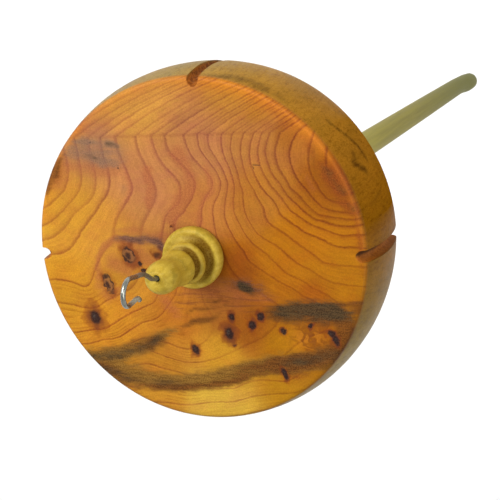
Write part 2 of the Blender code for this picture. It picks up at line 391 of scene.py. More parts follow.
def whorl_angles():
    """Even columns, with close ones across each notch."""
    reach = NOTCH_W / R_BELLY
    columns = []
    for notch in NOTCHES:
        columns += [notch + reach * sin(radians(-90.0 + 180.0 * k / 26.0)) for k in range(27)]
        columns += [notch + reach * s for s in (-1.25, -1.08, 1.08, 1.25)]
    for angle in 2.0 * pi * np.arange(430) / 430.0:
        if all(abs(wrap(angle - notch)) > reach * 1.4 for notch in NOTCHES):
            columns.append(angle)
    return np.array(sorted(angle % (2 * pi) for angle in columns))


def notch_depth(angles):
    depth = np.zeros_like(angles)
    for notch in NOTCHES:
        across = wrap(angles - notch) * R_BELLY / NOTCH_W
        depth = np.maximum(depth, NOTCH_D * np.sqrt(unit(1.0 - across * across)))
    return depth


def build_whorl():
    angles = whorl_angles()
    cut = notch_depth(angles)
    rings = []
    for radius, z, share in whorl_profile():
        r = radius - cut * share
        height = np.full_like(r, z + (Z_TOP - THICK))
        rings.append(np.stack([r * np.cos(angles), r * np.sin(angles), height], -1))
    ob = solid("whorl_turned", rings, closed=True)
    ob.data.set_sharp_from_angle(angle=radians(50.0))
    paint_whorl(ob)
    return ob


# ---------------------------------------------------------------------------
# Whorl: the wood's figure.  Growth rings are level lines of a smooth field.
# Guides say where some rings pass on the top face; between them the field is a
# thin-plate surface, and rings run into the depth of the wood.
# ---------------------------------------------------------------------------
LEAN_X, LEAN_Y = 0.10, -0.07    # sideways shift of the rings per mm of depth
FOLD_Y = 22.6                   # a pleat across the upper face where rings turn sharply
# (x, ring) along the pleat
FOLD_RINGS = [
    (-31, -1), (-26.6, 0), (-23.6, 1), (-20.6, 2), (-18, 3), (-14.6, 4), (-10.6, 5), (-7.2, 6),
    (-4.4, 7), (-0.4, 8), (2.3, 9), (4.4, 10), (7.3, 11), (9.4, 12), (11.6, 13), (13.7, 14),
    (15.3, 15), (17, 16), (19, 17), (22.3, 18), (25.5, 19), (28.5, 20)]
# ring: (x, y) places it passes through
RING_GUIDES = {
    -1: [(-31, 14)],
    0: [(-25.7, 17), (-27, 12.5), (-32, 8.7)],
    1: [(-23, 17), (-23.5, 13), (-28, 8), (-32, 5.3)],
    2: [(-19.9, 15), (-21, 11), (-26, 7), (-30, 3.2), (-32.8, 2.2)],
    3: [(-18, 20), (-17, 14), (-19.5, 9.5), (-22.5, 6), (-25, 3), (-28, 0), (-33, -1)],
    4: [(-14.5, 20), (-12.3, 12.5), (-16.7, 5.5), (-17.5, 2.4), (-20.2, -0.5), (-22.6, -4.5),
        (-24.6, -7.3), (-32.5, -6)],
    5: [(-10.2, 20), (-7.5, 12.5), (-8.5, 9), (-11, 5), (-32, -10.7), (-27.5, -11.2),
        (-21, -10.4), (-16.5, -8.4)],
    6: [(-6.8, 20), (-2.3, 13), (-3.2, 9), (-6.5, 5), (-10, -10), (-14, -12), (-18, -14),
        (-22, -16), (-29, -17)],
    7: [(-4, 20), (0.8, 13), (-1.5, 8.5), (-4, 6), (-5, -7.5), (-7.5, -11), (-9, -12.8),
        (-13, -14.5), (-22, -18.2), (-28, -19.3)],
    8: [(0, 20), (4.5, 13.2), (1.8, 8.5), (1.5, 6), (-25, -21.3), (-20, -20.5), (-16, -18.8),
        (-10, -18.3), (-4, -19.9), (0, -8.8)],
    9: [(2.5, 20), (6.1, 13), (4.2, 9), (4, 5), (-24, -22.5), (-14, -20.2), (-9, -21.5),
        (-2, -22.4), (5, -20.4), (12, -17), (9, -6.2)],
    10: [(4.5, 20), (7.4, 13), (6.5, 9), (6.7, 5), (9.5, 0), (10.5, -2), (14, -4.5),
         (18, -6.8), (23, -9.7), (25.5, -14), (-22, -23.6), (-14, -23), (-7, -24.5), (6, -23),
         (12, -22), (18, -18.8), (22, -16.5)],
    11: [(7, 20), (8.8, 13), (8.3, 9), (9.3, 5), (13.5, 0), (18, -4.5), (23, -7.3), (27, -9.5),
         (29.8, -14), (-17, -28), (-5, -28.3), (5, -27.5), (16, -25.8), (27, -20)],
    12: [(8.7, 20), (10, 13), (10.3, 9), (11, 6), (13, 3), (17.5, 0), (23, -3.8), (27, -6),
         (33, -6.8), (-12, -31), (0, -30.5), (8, -29.3), (15, -28.3), (24, -24.6)],
    13: [(10.8, 20), (11.2, 15), (12.6, 12), (14.2, 8.5), (14.6, 6.4), (17, 4), (21, 1),
         (25, -2), (32, -3), (0, -34)],
    14: [(12.7, 20), (13, 15), (14.4, 12), (16.9, 9), (17.3, 7.5), (20, 5.2), (25, 2.5),
         (28, 1), (32, 0.8)],
    15: [(14.3, 20), (14.8, 15), (17, 11.5), (19.5, 8), (21, 6.8), (25, 4.5), (29, 3), (33, 3)],
    16: [(15.8, 20), (16.2, 16), (18.2, 12.5), (21, 9), (23, 7), (26, 5.6), (30, 4.8), (33, 5)],
    17: [(17.8, 20), (18, 16), (20, 12), (22.8, 9), (25, 7), (32, 6)],
    18: [(20.5, 19), (21, 15), (23, 12), (25, 9.3), (28, 7.7), (32, 7.2)],
    19: [(24, 18), (24.5, 14), (27, 10), (31, 9)],
    20: [(27.5, 15.5), (28.2, 12.4), (31, 11)],
}
# Pips and knots: x, y, half-widths, tilt in degrees, how far the dark halo reaches
# (in half-widths), kind
KNOTS = [
    (-14.7, -0.9, 1.20, 1.85, 28, 2.1, "eye"), (-12.5, -2.5, 0.46, 0.50, 0, 2.2, "pip"),
    (-11.9, -4.0, 0.55, 0.42, 0, 2.0, "pip"), (-8.7, -0.4, 0.95, 0.65, -20, 2.2, "smoke"),
    (-19.8, -6.7, 1.0, 2.05, 20, 1.8, "eye"), (-23.5, -13.6, 1.15, 1.60, 18, 2.7, "big"),
    (-2.5, -19.8, 0.66, 1.05, 20, 2.5, "pip"), (5.7, -13.1, 0.62, 0.72, 10, 2.3, "pip"),
    (9.8, -14.7, 0.72, 0.85, 20, 2.3, "pip"), (11.7, -12.9, 0.70, 0.78, -30, 2.4, "pip"),
    (4.9, -16.4, 0.92, 1.30, 15, 2.5, "big"), (16.1, -15.8, 0.62, 0.66, 0, 1.9, "pip"),
    (21.6, -14.6, 0.44, 0.46, 0, 2.0, "pip"), (25.7, -16.1, 0.85, 0.62, -35, 2.3, "pip"),
    (26.5, -17.4, 0.60, 1.05, 20, 2.4, "pip"), (15.6, -24.3, 0.52, 1.20, 22, 2.3, "pip"),
    (5.4, -18.3, 0.62, 0.34, 0, 2.0, "smoke"), (13.5, 16.5, 0.95, 0.13, -4, 1.2, "tick"),
    (12.9, 16.0, 0.12, 0.4, 20, 1.2, "tick"), (-15.0, 16.4, 0.20, 0.20, 0, 1.2, "tick"),
    (-20.4, 21.6, 0.16, 0.14, 0, 1.2, "tick"), (-5.0, 5.3, 0.34, 0.26, 0, 1.8, "smoke"),
]
# Mineral stain strokes: colour, half-width, strength, points (x, y[, weight])
STAINS = [
    # right, below the middle
    ("dark", 1.40, 0.80, [(13, -12.4, 0.2), (16.7, -12.1, 0.75), (19.8, -11.7, 1),
                          (22.9, -11.4, 1), (26, -11.9, 1), (28.9, -12.6, 0.6)]),
    ("umber", 1.25, 0.60, [(10.5, -11.9, 0.3), (14.5, -12.6, 1), (20, -12.9, 1),
                           (26, -13.2, 0.8)]),
    ("umber", 0.42, 0.60, [(17.5, -10.5, 0.3), (25, -10.5, 1), (32, -10.6, 1)]),
    ("umber", 1.45, 0.72, [(27.3, -12.8), (28.4, -15), (27.4, -18.8), (25.6, -20.2)]),
    ("umber", 1.0, 0.55, [(28.8, -12.6), (31, -11.2)]),
    # the long low band, brown-olive, darker to the right
    ("olive", 1.22, 0.95, [(-24.2, -23.6, 0.8), (-20.3, -24.6), (-17, -25.5), (-13.3, -26.2),
                           (-8.6, -26.6), (-3.9, -26.4), (0.4, -25.8), (4.6, -24.8),
                           (8.8, -23.7), (13, -22.7), (18, -22), (22.9, -21.5),
                           (26.4, -20.2)]),
    ("olive", 1.8, 0.72, [(-25.4, -22.4), (-20, -23.8), (-14.5, -25.4, 0.8)]),
    ("umber", 1.1, 0.50, [(-24.8, -23.6), (-20.5, -25.4), (-16, -26.4, 0.6)]),
    ("olive", 1.0, 0.72, [(-22, -24.9), (-17, -26.2), (-12.5, -26.8), (-6, -26.9, 0.8)]),
    ("dark", 0.80, 0.36, [(-24, -24.2, 0.9), (-18.1, -25.5, 1), (-14, -26.2, 0.6),
                          (-9, -26.8, 0.8), (-3, -26.7, 0.4)]),
    ("umber", 0.55, 0.60, [(-19, -27.2, 0.5), (-12.6, -27.6), (-6, -27.7), (0, -27), (5, -26),
                           (10, -24.8), (14, -23.8, 0.9), (18.5, -23.2, 0.5)]),
    ("umber", 1.12, 1.00, [(2, -25.4, 0.1), (8, -23.9, 0.45), (14, -22.5, 0.8),
                           (19, -21.8, 1), (22.9, -21.4, 1), (27.2, -19.4, 1)]),
    ("dark", 0.75, 0.42, [(14, -22.3, 0.3), (18, -21.6, 1), (22, -21.2, 1), (26.2, -19.9, 1)]),
    ("red", 1.3, 0.42, [(14.5, -24.6, 0.6), (18, -24.3, 1), (22.5, -23, 0.5)]),
    ("umber", 0.8, 0.40, [(16.5, -24, 0.6), (20, -23.4, 1), (23.5, -22, 0.8)]),
    # the upper band at the lower left
    ("olive", 1.08, 0.90, [(-26.2, -21.9), (-20.8, -21.6), (-16.4, -20.2), (-12.4, -18.7),
                           (-9, -17.3, 0.7), (-5, -15.6, 0.15)]),
    ("dark", 0.60, 0.46, [(-26, -22.2), (-20.8, -21.7), (-16, -20.2, 0.8), (-11, -18.3, 1),
                          (-6.6, -16.4, 0.5)]),
    ("olive", 0.85, 0.48, [(-24.6, -22.6), (-20, -22.4, 0.8), (-15, -21.4, 0.4)]),
    ("umber", 1.3, 0.55, [(-17, -19.6, 0.5), (-12, -18.6, 1), (-8.8, -18.2, 0.6)]),
    # grey mist at the upper left
    ("grey", 0.72, 0.72, [(-24.6, 21.7, 0.5), (-21.5, 21.6, 1), (-18.5, 21.5, 0.5),
                          (-16.7, 21.2, 1), (-14.6, 20.6, 0.7)]),
    ("grey", 1.15, 0.66, [(-25.4, 19.4, 0.6), (-21.5, 18.9, 1), (-18.6, 18.3, 1),
                          (-14.6, 17.8, 0.5)]),
    ("dark", 0.34, 0.34, [(-22.6, 18.9), (-19.4, 18.5)]),
    ("dark", 0.36, 0.34, [(-17.4, 21.4), (-14.8, 20.7)]),
    ("mauve", 1.5, 0.66, [(-26.5, 16.9, 0.8), (-21.1, 16.6, 1), (-15, 16.6, 0.6)]),
    ("grey", 2.2, 0.46, [(-25, 20.2, 0.8), (-20.5, 19.8, 1), (-15, 19.2, 0.8)]),
    ("mauve", 1.2, 0.40, [(-25, 24.4, 0.5), (-21.5, 24.2, 0.8), (-18, 23.6, 0.5)]),
    ("grey", 0.8, 0.34, [(-15.4, 13.4, 0.3), (-14.6, 12.2, 0.8), (-14.8, 10.8, 0.4)]),
    ("red", 1.05, 0.50, [(-30.4, 11.6, 0.4), (-28.8, 15.4, 1), (-26.4, 19, 0.4)]),
    ("umber", 0.50, 0.80, [(-31.2, 9.8, 0.2), (-29.9, 13.4, 0.9), (-28.3, 16.6, 1),
                           (-26.2, 19.6, 0.2)]),
    ("mauve", 1.6, 0.50, [(-26, 16.5), (-28.5, 14)]),
    ("mauve", 0.9, 0.35, [(-22, 25.3), (-16.2, 25.3)]),
    # smoky arch over the left knots
    ("purple", 0.56, 0.94, [(-17.6, 1.9, 0.15), (-15.6, 2.1, 0.5), (-13, 2.1, 0.85),
                            (-10.4, 2.1, 1), (-8.6, 1.8, 1), (-7.1, 0.7, 1)]),
    ("mauve", 0.85, 0.80, [(-13.8, 0.6, 0.5), (-11.8, -0.4, 1), (-10.6, -1.6, 1),
                           (-9.8, -2.8, 0.6)]),
    ("mauve", 0.9, 0.55, [(-17.6, 3.4, 0.4), (-13, 3.7, 1), (-8, 2.6, 1)]),
    ("mauve", 0.75, 0.60, [(-18.6, 1.2, 0.4), (-15.8, 1.7, 1), (-13.5, 1.5, 1),
                           (-11, 0.3, 0.6)]),
    ("mauve", 0.50, 0.85, [(-21.6, -5.4, 0.6), (-22.1, -3.6, 0.9), (-20.9, -0.6, 1),
                           (-19.2, 1.1, 1), (-16.5, 2.2, 0.9)]),
    ("mauve", 1.3, 0.55, [(-18, -2), (-15.5, -3.6), (-12, -1), (-13.5, 1)]),
    ("mauve", 0.9, 0.50, [(-21.8, -3), (-22, -6.5), (-20, -9.5), (-17.8, -8)]),
    ("mauve", 1.1, 0.45, [(-9.5, -1.6), (-8, -4.5)]),
    # below the finial
    ("purple", 1.0, 0.40, [(3, -6, 0.3), (7, -6.5, 0.8), (9.4, -6.9, 1), (12.5, -7.1, 0.6),
                           (14.6, -7.8, 0.2)]),
    ("mauve", 1.3, 0.55, [(2, -7.6, 0.4), (7, -8.2, 0.9), (12, -8.6, 0.7), (15.5, -9.6, 0.2)]),
    ("umber", 0.85, 0.66, [(6.6, -7, 0.5), (8.2, -7), (10.4, -7.5), (12.4, -7.5, 0.4)]),
    ("dark", 0.62, 0.80, [(8.3, -7.1), (10, -7.5)]),
    ("purple", 0.55, 0.45, [(12, -7.6, 0.6), (13.8, -9.4, 0.5), (15, -10.4, 0.1)]),
    ("mauve", 1.5, 0.35, [(-3, -8), (3, -7.6)]),
    ("mauve", 1.1, 0.40, [(-6, -12.6), (-9, -8), (-7.6, -6)]),
    ("umber", 0.50, 0.66, [(-6.2, -15.8, 0.3), (-2.8, -14.3, 0.9), (-0.6, -13.9, 1),
                           (1.4, -13.3, 0.8), (3.6, -12.3, 0.4)]),
    ("umber", 0.34, 0.50, [(-4, -12.4, 0.3), (-1.6, -11.7, 1), (2, -11, 0.6),
                           (6.3, -10.2, 0.5), (9.5, -9.5, 0.2)]),
    ("umber", 0.30, 0.45, [(-1, -9.9, 0.3), (3, -9.7, 1), (8, -9.2, 0.4)]),
    # warmer rings and rims
    ("mauve", 0.95, 0.80, [(-2.1, 19.2), (-0.9, 15.5), (-0.7, 13.1), (-1.9, 10.2),
                           (-3.9, 7.4), (-5.6, 5.8)]),
    ("mauve", 0.60, 0.65, [(-8.7, 16), (-8.2, 12.4), (-9.4, 9.1)]),
    ("mauve", 0.45, 0.45, [(-13.2, 15.5), (-13, 12.4), (-14, 10)]),
    ("mauve", 0.55, 0.50, [(3.6, 16), (4, 12), (1.6, 8.5), (0.8, 5.5)]),
    ("red", 1.30, 0.98, [(25.6, 17, 0.3), (27.8, 14.6, 1), (30.6, 11.8, 1)]),
    ("umber", 0.60, 0.42, [(26.6, 15.6, 0.3), (28.4, 13.8, 0.8), (29.9, 12.2, 1),
                           (31.2, 10.7, 0.8)]),
    ("umber", 0.50, 0.50, [(26.8, 15.8), (28.4, 15)]),
    ("red", 0.80, 0.85, [(28.6, 9.2, 0.3), (31, 8.5, 0.9), (32.4, 7.8, 1)]),
    ("umber", 0.5, 0.55, [(31.6, 8.4, 0.6), (32.3, 7.8, 0.8)]),
    ("red", 0.60, 0.35, [(24.3, 20.3), (25, 18.4)]),
    ("mauve", 0.60, 0.30, [(23.4, 14), (24.6, 11.6)]),
    ("red", 0.45, 0.60, [(32.6, 6, 0.6), (32.9, 1, 1), (32.9, -3, 0.5)]),
]
STAIN_KINDS = ("dark", "umber", "olive", "grey", "purple", "mauve", "red")
# Stain colours in painting order: kind, darker and lighter sRGB, greatest cover
STAIN_COLORS = [
    ("mauve", (134, 70, 42), (160, 92, 54), 0.58), ("red", (104, 48, 12), (134, 68, 20), 0.80),
    ("grey", (100, 79, 64), (130, 97, 75), 0.80), ("olive", (84, 56, 20), (126, 90, 36), 0.92),
    ("umber", (70, 38, 12), (106, 62, 22), 0.88),
    ("purple", (58, 40, 44), (108, 74, 62), 0.86), ("dark", (36, 30, 20), (74, 58, 36), 0.92),
]
# Marks on the turned side: half-width, strength, points (degrees, depth[, weight])
SIDE_MARKS = [
    (0.34, 0.75, [(41, 6.8), (37, 8), (33, 9.6), (30, 10.6), (25, 11.2)]),
    (0.45, 0.85, [(27, 5.2), (25, 6.4), (22.5, 7.9)]),
    (0.4, 0.5, [(26, 6), (29, 6.8)]),
    (0.95, 0.62, [(86, 0.8, 0.3), (78, 1.4, 0.9), (71, 2.4, 1), (64, 2.8, 0.8), (57, 2.4, 0.3)]),
    (0.6, 0.55, [(72, 1.6, 0.4), (64, 1.8, 1), (54, 2.2, 0.3)]),
    (0.30, 0.35, [(16, 12.8), (14, 9), (13, 5)]),
    (0.25, 0.25, [(10, 14.5), (9, 7)]),
    (0.3, 0.3, [(118, 5), (112, 6.5)]),
    (0.3, 0.3, [(-30, 4), (-34, 9)]),
    (0.4, 0.5, [(200, 7), (206, 9), (215, 9.5)]),
    (0.35, 0.5, [(260, 4), (268, 8)]),
]
MARK_R = 35.0       # radius that turns a mark's angle into mm round the side
# Broad colours of the top face, its own tones together with the fall of the light: painted light
# brighter to the left and bottom, painted shade darker to the right and top, and a bluer painted
# sheen at the upper left. Columns: x, y, reach, weight, sRGB
WASH = [
    (-28, 6, 9, 1, 216, 154, 56), (-10, 29, 9, 1, 213, 153, 70), (10, 31, 7, 1, 196, 135, 55),
    (-20, 21, 6, 0.8, 185, 130, 83), (-10, 15, 8, 1.2, 196, 131, 79),
    (2, 20, 8, 1.3, 190, 127, 75), (2, 10, 6, 1, 194, 126, 64), (13, 23, 7, 1.1, 190, 127, 64),
    (13, 10, 7, 1.1, 187, 121, 50), (20, 2, 8, 1.1, 188, 118, 33), (26, 12, 5, 0.9, 158, 93, 33),
    (29.5, 14.5, 2.6, 2.2, 127, 60, 18), (28, -4, 6, 1, 183, 118, 19), (8, -3, 5, 1, 158, 89, 24),
    (5, -9.5, 4, 1.2, 177, 108, 50), (-20, 3, 7, 1, 211, 148, 60), (-16, -4, 5, 0.9, 201, 139, 51),
    (-29, -6, 7, 1, 206, 144, 46), (-20, -15, 6, 1.1, 211, 142, 47), (-6, -13, 5, 1, 193, 121, 45),
    (9, -15, 5, 1, 163, 95, 37), (3, -22, 4.5, 1.3, 208, 150, 50),
    (16, -18.5, 4, 1.3, 184, 122, 31), (22, -17, 4, 1, 155, 93, 18),
    (-10, -23.5, 5, 1, 190, 128, 47), (16, -26.5, 4.5, 1.2, 188, 132, 38),
    (0, -32, 6, 1.8, 218, 174, 68), (-10, -30, 5, 1.2, 204, 143, 51), (23, -9, 4, 0.8, 169, 96, 28),
    (14, 26, 4.5, 1, 192, 129, 46), (20, 22, 4, 1, 173, 106, 45), (-33, 4, 3, 1.6, 221, 172, 64),
    (-24, 24.5, 2.6, 1.8, 206, 134, 62), (33, -6, 3, 1.4, 178, 116, 25),
]
WASH_BASE = (200, 134, 56)
FACE_GAIN, SIDE_GAIN = 0.70, 0.92   # brightness of the face and side colours
# Tables round the whorl; the first column is the angle from +X in degrees
SIDE_TONES = [                      # sRGB of the turned side, its own tone with painted shade darkest towards +X (-15 to 5 degrees) and a grey painted sheen at -60 to -35 and at 95 to 130 degrees
    (-180, 150, 112, 50), (-90, 142, 104, 46), (-60, 134, 108, 50), (-35, 124, 101, 34),
    (-15, 124, 91, 26), (5, 132, 86, 26), (30, 152, 102, 36), (50, 164, 116, 42),
    (75, 168, 126, 46), (95, 148, 122, 60), (130, 144, 116, 60), (180, 150, 112, 50)]
SIDE_RINGS = [(-180, 1), (-75, 1), (-42, 0.15), (0, 0), (104, 0), (130, 1), (180, 1)]
SIDE_POLISH = [(-180, 0.18), (-70, 0.17), (-42, 0.16), (-8, 0.06), (8, 0), (40, 0), (70, 0.03),
               (105, 0.10), (180, 0.17)]
FACE_POLISH = 0.10
EDGE_GLOW = [(18, 0), (40, 0.75), (62, 1), (86, 0.8), (100, 0.35)]
EDGE_LIGHT = [                       # painted light round the face's edge: above 0 a pale painted highlight, below 0 a dark painted shade
    (-180, 0.5), (-150, 0.2), (-100, -0.5), (-20, -0.45), (6, 0.45), (24, 1), (66, 1),
    (100, 0.70), (150, 0.65), (180, 0.5)]


def fit_plate(points, values, smooth=0.4):
    """Weights of a thin-plate surface through values at points."""
    count = len(points)
    distance = np.linalg.norm(points[:, None] - points[None], axis=-1)
    kernel = distance * distance * np.log(np.maximum(distance, 1e-9))
    kernel[np.arange(count), np.arange(count)] = smooth
    system = np.zeros((count + 3, count + 3))
    system[:count, :count] = kernel
    system[:count, count] = 1.0
    system[:count, count + 1:] = points
    system[count, :count] = 1.0
    system[count + 1:, :count] = points.T
    return np.linalg.solve(system, np.concatenate([values, np.zeros(3)]))


guides = [(x, FOLD_Y, ring) for x, ring in FOLD_RINGS]
guides += [(x, y, ring) for ring, places in RING_GUIDES.items() for x, y in places]
guides = np.array(guides, float)
guide_points = guides[:, :2].copy()
guide_weights = fit_plate(guide_points, guides[:, 2].copy())


def rings_below(x, y):
    """Ring number below the pleat, worked out in batches to save memory."""
    out = np.zeros(len(x))
    count, batch = len(guide_points), 20000
    for s in range(0, len(x), batch):
        q = np.stack([x[s:s + batch], y[s:s + batch]], -1)
        square = ((q[:, None] - guide_points[None]) ** 2).sum(-1)
        kernel = 0.5 * square * np.log(np.maximum(square, 1e-12))
        out[s:s + batch] = (kernel @ guide_weights[:count] + guide_weights[count]
                            + q @ guide_weights[count + 1:])
    return out


def rings_above(x, y):
    """Above the pleat the rings climb to the right; each follows rise = slope run - bend run^2."""
    slope, bend = 0.62, 0.007
    rise = np.clip(y - FOLD_Y, 0.0, 13.2)
    run = (slope - np.sqrt(np.maximum(slope ** 2 - 4 * bend * rise, 1e-3))) / (2 * bend)
    start = x - run
    fold_x, fold_ring = zip(*FOLD_RINGS)
    left = fold_ring[0] + (start - fold_x[0]) / 3.2
    right = fold_ring[-1] + (start - fold_x[-1]) / 2.8
    inside = np.interp(start, fold_x, fold_ring)
    return np.where(start < fold_x[0], left, np.where(start > fold_x[-1], right, inside))


def ring_gradient(field, x, y, step=0.05):
    """Rings per mm."""
    here = field(x, y)
    slope_x = (field(x + step, y) - here) / step
    slope_y = (field(x, y + step) - here) / step
    return np.clip(np.hypot(slope_x, slope_y), 0.12, 3.0)


def ripple(x, y, scale, seed):
    """Smooth noise about -1..1 from nine waves."""
    random = np.random.RandomState(seed)
    out = np.zeros(len(x))
    for _ in range(9):
        angle = random.uniform(0, 2 * pi)
        rate = scale * random.uniform(0.5, 2.2)
        phase = random.uniform(0, 2 * pi)
        out += np.sin(rate * (x * cos(angle) + y * sin(angle)) + phase) / (0.6 + rate / scale)
    return out / 3.2


def stroke_mask(x, y, points, half_width, power=2.4):
    """A soft stroke through (x, y[, weight]) points; a low weight fades and thins it."""
    out = np.zeros(len(x))
    points = [(*p, 1.0)[:3] for p in points]
    for (ax, ay, a_weight), (bx, by, b_weight) in zip(points, points[1:]):
        dx, dy = bx - ax, by - ay
        u = unit(((x - ax) * dx + (y - ay) * dy) / (dx * dx + dy * dy))
        weight = a_weight + (b_weight - a_weight) * u
        distance = np.hypot(x - ax - u * dx, y - ay - u * dy)
        width = half_width * (0.55 + 0.45 * weight)
        out = np.maximum(out, weight * bell(distance, width, power))
    return out


def face_color(x, y):
    """WASH colours blended by nearness."""
    total = np.zeros(len(x)) + 1e-6
    color = np.tile(np.array(srgb(*WASH_BASE)), (len(x), 1)) * 1e-6
    for cx, cy, reach, weight, *rgb in WASH:
        square = ((x - cx) ** 2 + (y - cy) ** 2) / (0.62 * reach) ** 2
        near = weight / (square + 0.45) ** 2.1
        color += near[:, None] * np.array(srgb(*rgb))
        total += near
    color /= total[:, None]
    return np.maximum(color - 0.012, 0.004) * FACE_GAIN


def side_color(turn):
    angles = [tone[0] for tone in SIDE_TONES]
    colors = [srgb(*tone[1:]) for tone in SIDE_TONES]
    side = np.stack([np.interp(turn, angles, channel) for channel in zip(*colors)], -1)
    return np.maximum(side - 0.008, 0.003) * SIDE_GAIN


def paint_side(ob, x, y, r, angle, depth):
    """Colour and finish where they depend on face or side; returns the side mask."""
    turn = np.degrees(angle)
    side = np.where(depth < 8.0, unit((r - 33.0) / 0.5), unit((r - 30.2) / 2.4))
    side = side * unit((depth - 0.25) / 0.55)
    share = side[:, None]
    set_attr(ob, "wash", face_color(x, y) * (1.0 - share) + side_color(turn) * share)
    set_attr(ob, "side", side)
    set_attr(ob, "plainer", side * lookup(turn, SIDE_RINGS))
    set_attr(ob, "polish", FACE_POLISH * (1.0 - side) + lookup(turn, SIDE_POLISH) * side)
    glow = bell(np.maximum(33.2 - r, 0.0), 2.0) * lookup(turn, EDGE_GLOW)
    set_attr(ob, "glow", glow * (1.0 - side))
    # painted highlight and painted shade: a pale line round the edge of the face where its rounded
    # edge catches the light, a dark one where it turns from it
    edge_light = lookup(turn, EDGE_LIGHT)
    edge = r > 32.3
    pale_line = np.hypot(r - 33.05, (depth - 0.18) * 0.9)
    dark_line = np.hypot(r - 33.4, (depth - 0.5) * 0.9)
    set_attr(ob, "rim", bell(pale_line, 0.36) * edge * unit(edge_light))
    set_attr(ob, "rim_dark", bell(dark_line, 0.6) * edge * unit(-edge_light))
    return side


def paint_notches(ob, r, angle, depth):
    """Bare wood where the surface lies inside the uncut side."""
    uncut = np.array([side_radius(min(max(d, 0.0), THICK - 1.6)) for d in depth])
    uncut = uncut - 0.25 * (depth < TOP_ROUND)
    cut = notch_depth(angle % (2 * pi))
    set_attr(ob, "notch", unit((uncut - r) / 0.35) * (cut > 0.03) * (depth > 0.02))
    across = wrap(angle - NOTCHES[0]) * R_BELLY / NOTCH_W
    # painted shade on the wall of the notch at +X on the side of larger angle, turned from the
    # light
    set_attr(ob, "shady", (np.abs(across) < 1.3) * unit((across + 0.25) / 0.5))


def paint_marks(ob, angle, depth, side):
    round_side = angle * MARK_R
    across = round_side + 0.5 * ripple(round_side, depth, 0.9, seed=11)
    down = depth + 0.5 * (0.5 * ripple(round_side, depth, 1.1, seed=12))
    marks = np.zeros(len(angle))
    for half_width, strength, points in SIDE_MARKS:
        for turns in (0.0, 360.0):      # angles are given up to 268 but found up to 180
            stroke = [(radians(p[0] - turns) * MARK_R, *p[1:]) for p in points]
            mask = stroke_mask(across, down, stroke, half_width * 1.5, power=1.6)
            marks = np.maximum(marks, strength * mask)
    set_attr(ob, "marks", marks * side)


def paint_stains(ob, x, y, side):
    """Each kind of stain, its strokes bent and made uneven by ripples."""
    bent_x = x + 0.85 * ripple(x, y, 0.55, seed=3) + 0.30 * ripple(x, y, 1.9, seed=4)
    bent_y = y + 0.42 * ripple(x, y, 0.50, seed=5) + 0.22 * ripple(x, y, 1.7, seed=6)
    uneven = 1.0 + 0.30 * ripple(x * 0.6, y, 0.9, seed=8)
    for kind in STAIN_KINDS:
        power = 1.7 if kind in ("red", "mauve", "grey", "purple") else 2.1
        stain = np.zeros(len(x))
        for stroke_kind, half_width, strength, points in STAINS:
            if stroke_kind == kind:
                mask = uneven * stroke_mask(bent_x, bent_y, points, half_width * 1.42, power)
                stain = np.maximum(stain, strength * mask)
        set_attr(ob, "stain_" + kind, stain * (1.0 - 0.85 * side))


def paint_figure_strength(ob, x, y, side):
    """Where each kind of ring, burr and fibre shows."""
    # close extra rings show above the pleat, except at the far left
    set_attr(ob, "dense", unit((y - FOLD_Y) / 0.6) * unit((x + 22.0) / 14.0))
    calm = unit(np.maximum((y + 4.0) / 6.0, (-6.0 - x) / 5.0))
    quiet = blob(x, y, (4.0, -13.0), (8.0, 5.5)) + blob(x, y, (-14.5, -1.0), (5.0, 4.0))
    lines = np.maximum(0.60 + 0.40 * calm, 0.80 * (y < -24.0))
    set_attr(ob, "lines", lines * (1.0 - 0.80 * unit(quiet)))
    flow = unit((-4.0 - y) / 6.0) * unit(1.0 - quiet)
    set_attr(ob, "flow", 0.18 + 0.82 * flow * np.clip((4.0 - x) / 8.0, 0.35, 1.0))
    burr = blob(x, y, (20.8, -17.0), (3.6, 2.6), power=1.5)
    set_attr(ob, "burr", burr * (1.0 - side))
    fibre = stroke_mask(x, y, [(-4.0, -10.0), (5.0, -9.8), (13.0, -10.4)], half_width=2.6)
    set_attr(ob, "fibre", fibre * (1.0 - side))


def paint_whorl(ob):
    points = points_mm(ob)
    depth = Z_TOP - points[:, 2]
    r = np.hypot(points[:, 0], points[:, 1])
    angle = np.arctan2(points[:, 1], points[:, 0])
    # place in the figure
    x = points[:, 0] + LEAN_X * depth
    y = points[:, 1] + LEAN_Y * depth
    fields = (("low", rings_below), ("up", rings_above))
    for name, field in fields:
        set_attr(ob, "ring_" + name, field(x, y))
    for name, field in fields:
        set_attr(ob, "grad_" + name, ring_gradient(field, x, y))
    side = paint_side(ob, x, y, r, angle, depth)
    paint_notches(ob, r, angle, depth)
    paint_marks(ob, angle, depth, side)
    paint_stains(ob, x, y, side)
    paint_figure_strength(ob, x, y, side)


# ---------------------------------------------------------------------------
# Whorl: material
# ---------------------------------------------------------------------------
def sway(net, place, scale, detail=2.0):
    """A vector noise about zero."""
    return net.noise(place, scale, detail, color=True) - (0.5, 0.5, 0.5)


def wood_space(net):
    """Positions that the yew's parts share."""
    point = net.object_mm()
    x, y, z = net.split(point)
    depth = Z_TOP - z
    fx = x + depth * LEAN_X
    fy = y + depth * LEAN_Y
    figure = net.join(fx, fy, 0.0)
    side = net.attr("side")
    return SimpleNamespace(point=point, x=x, y=y, z=z, fx=fx, fy=fy, figure=figure, side=side,
                           face=1.0 - side, sway=sway(net, figure, scale=0.48, detail=1.0))


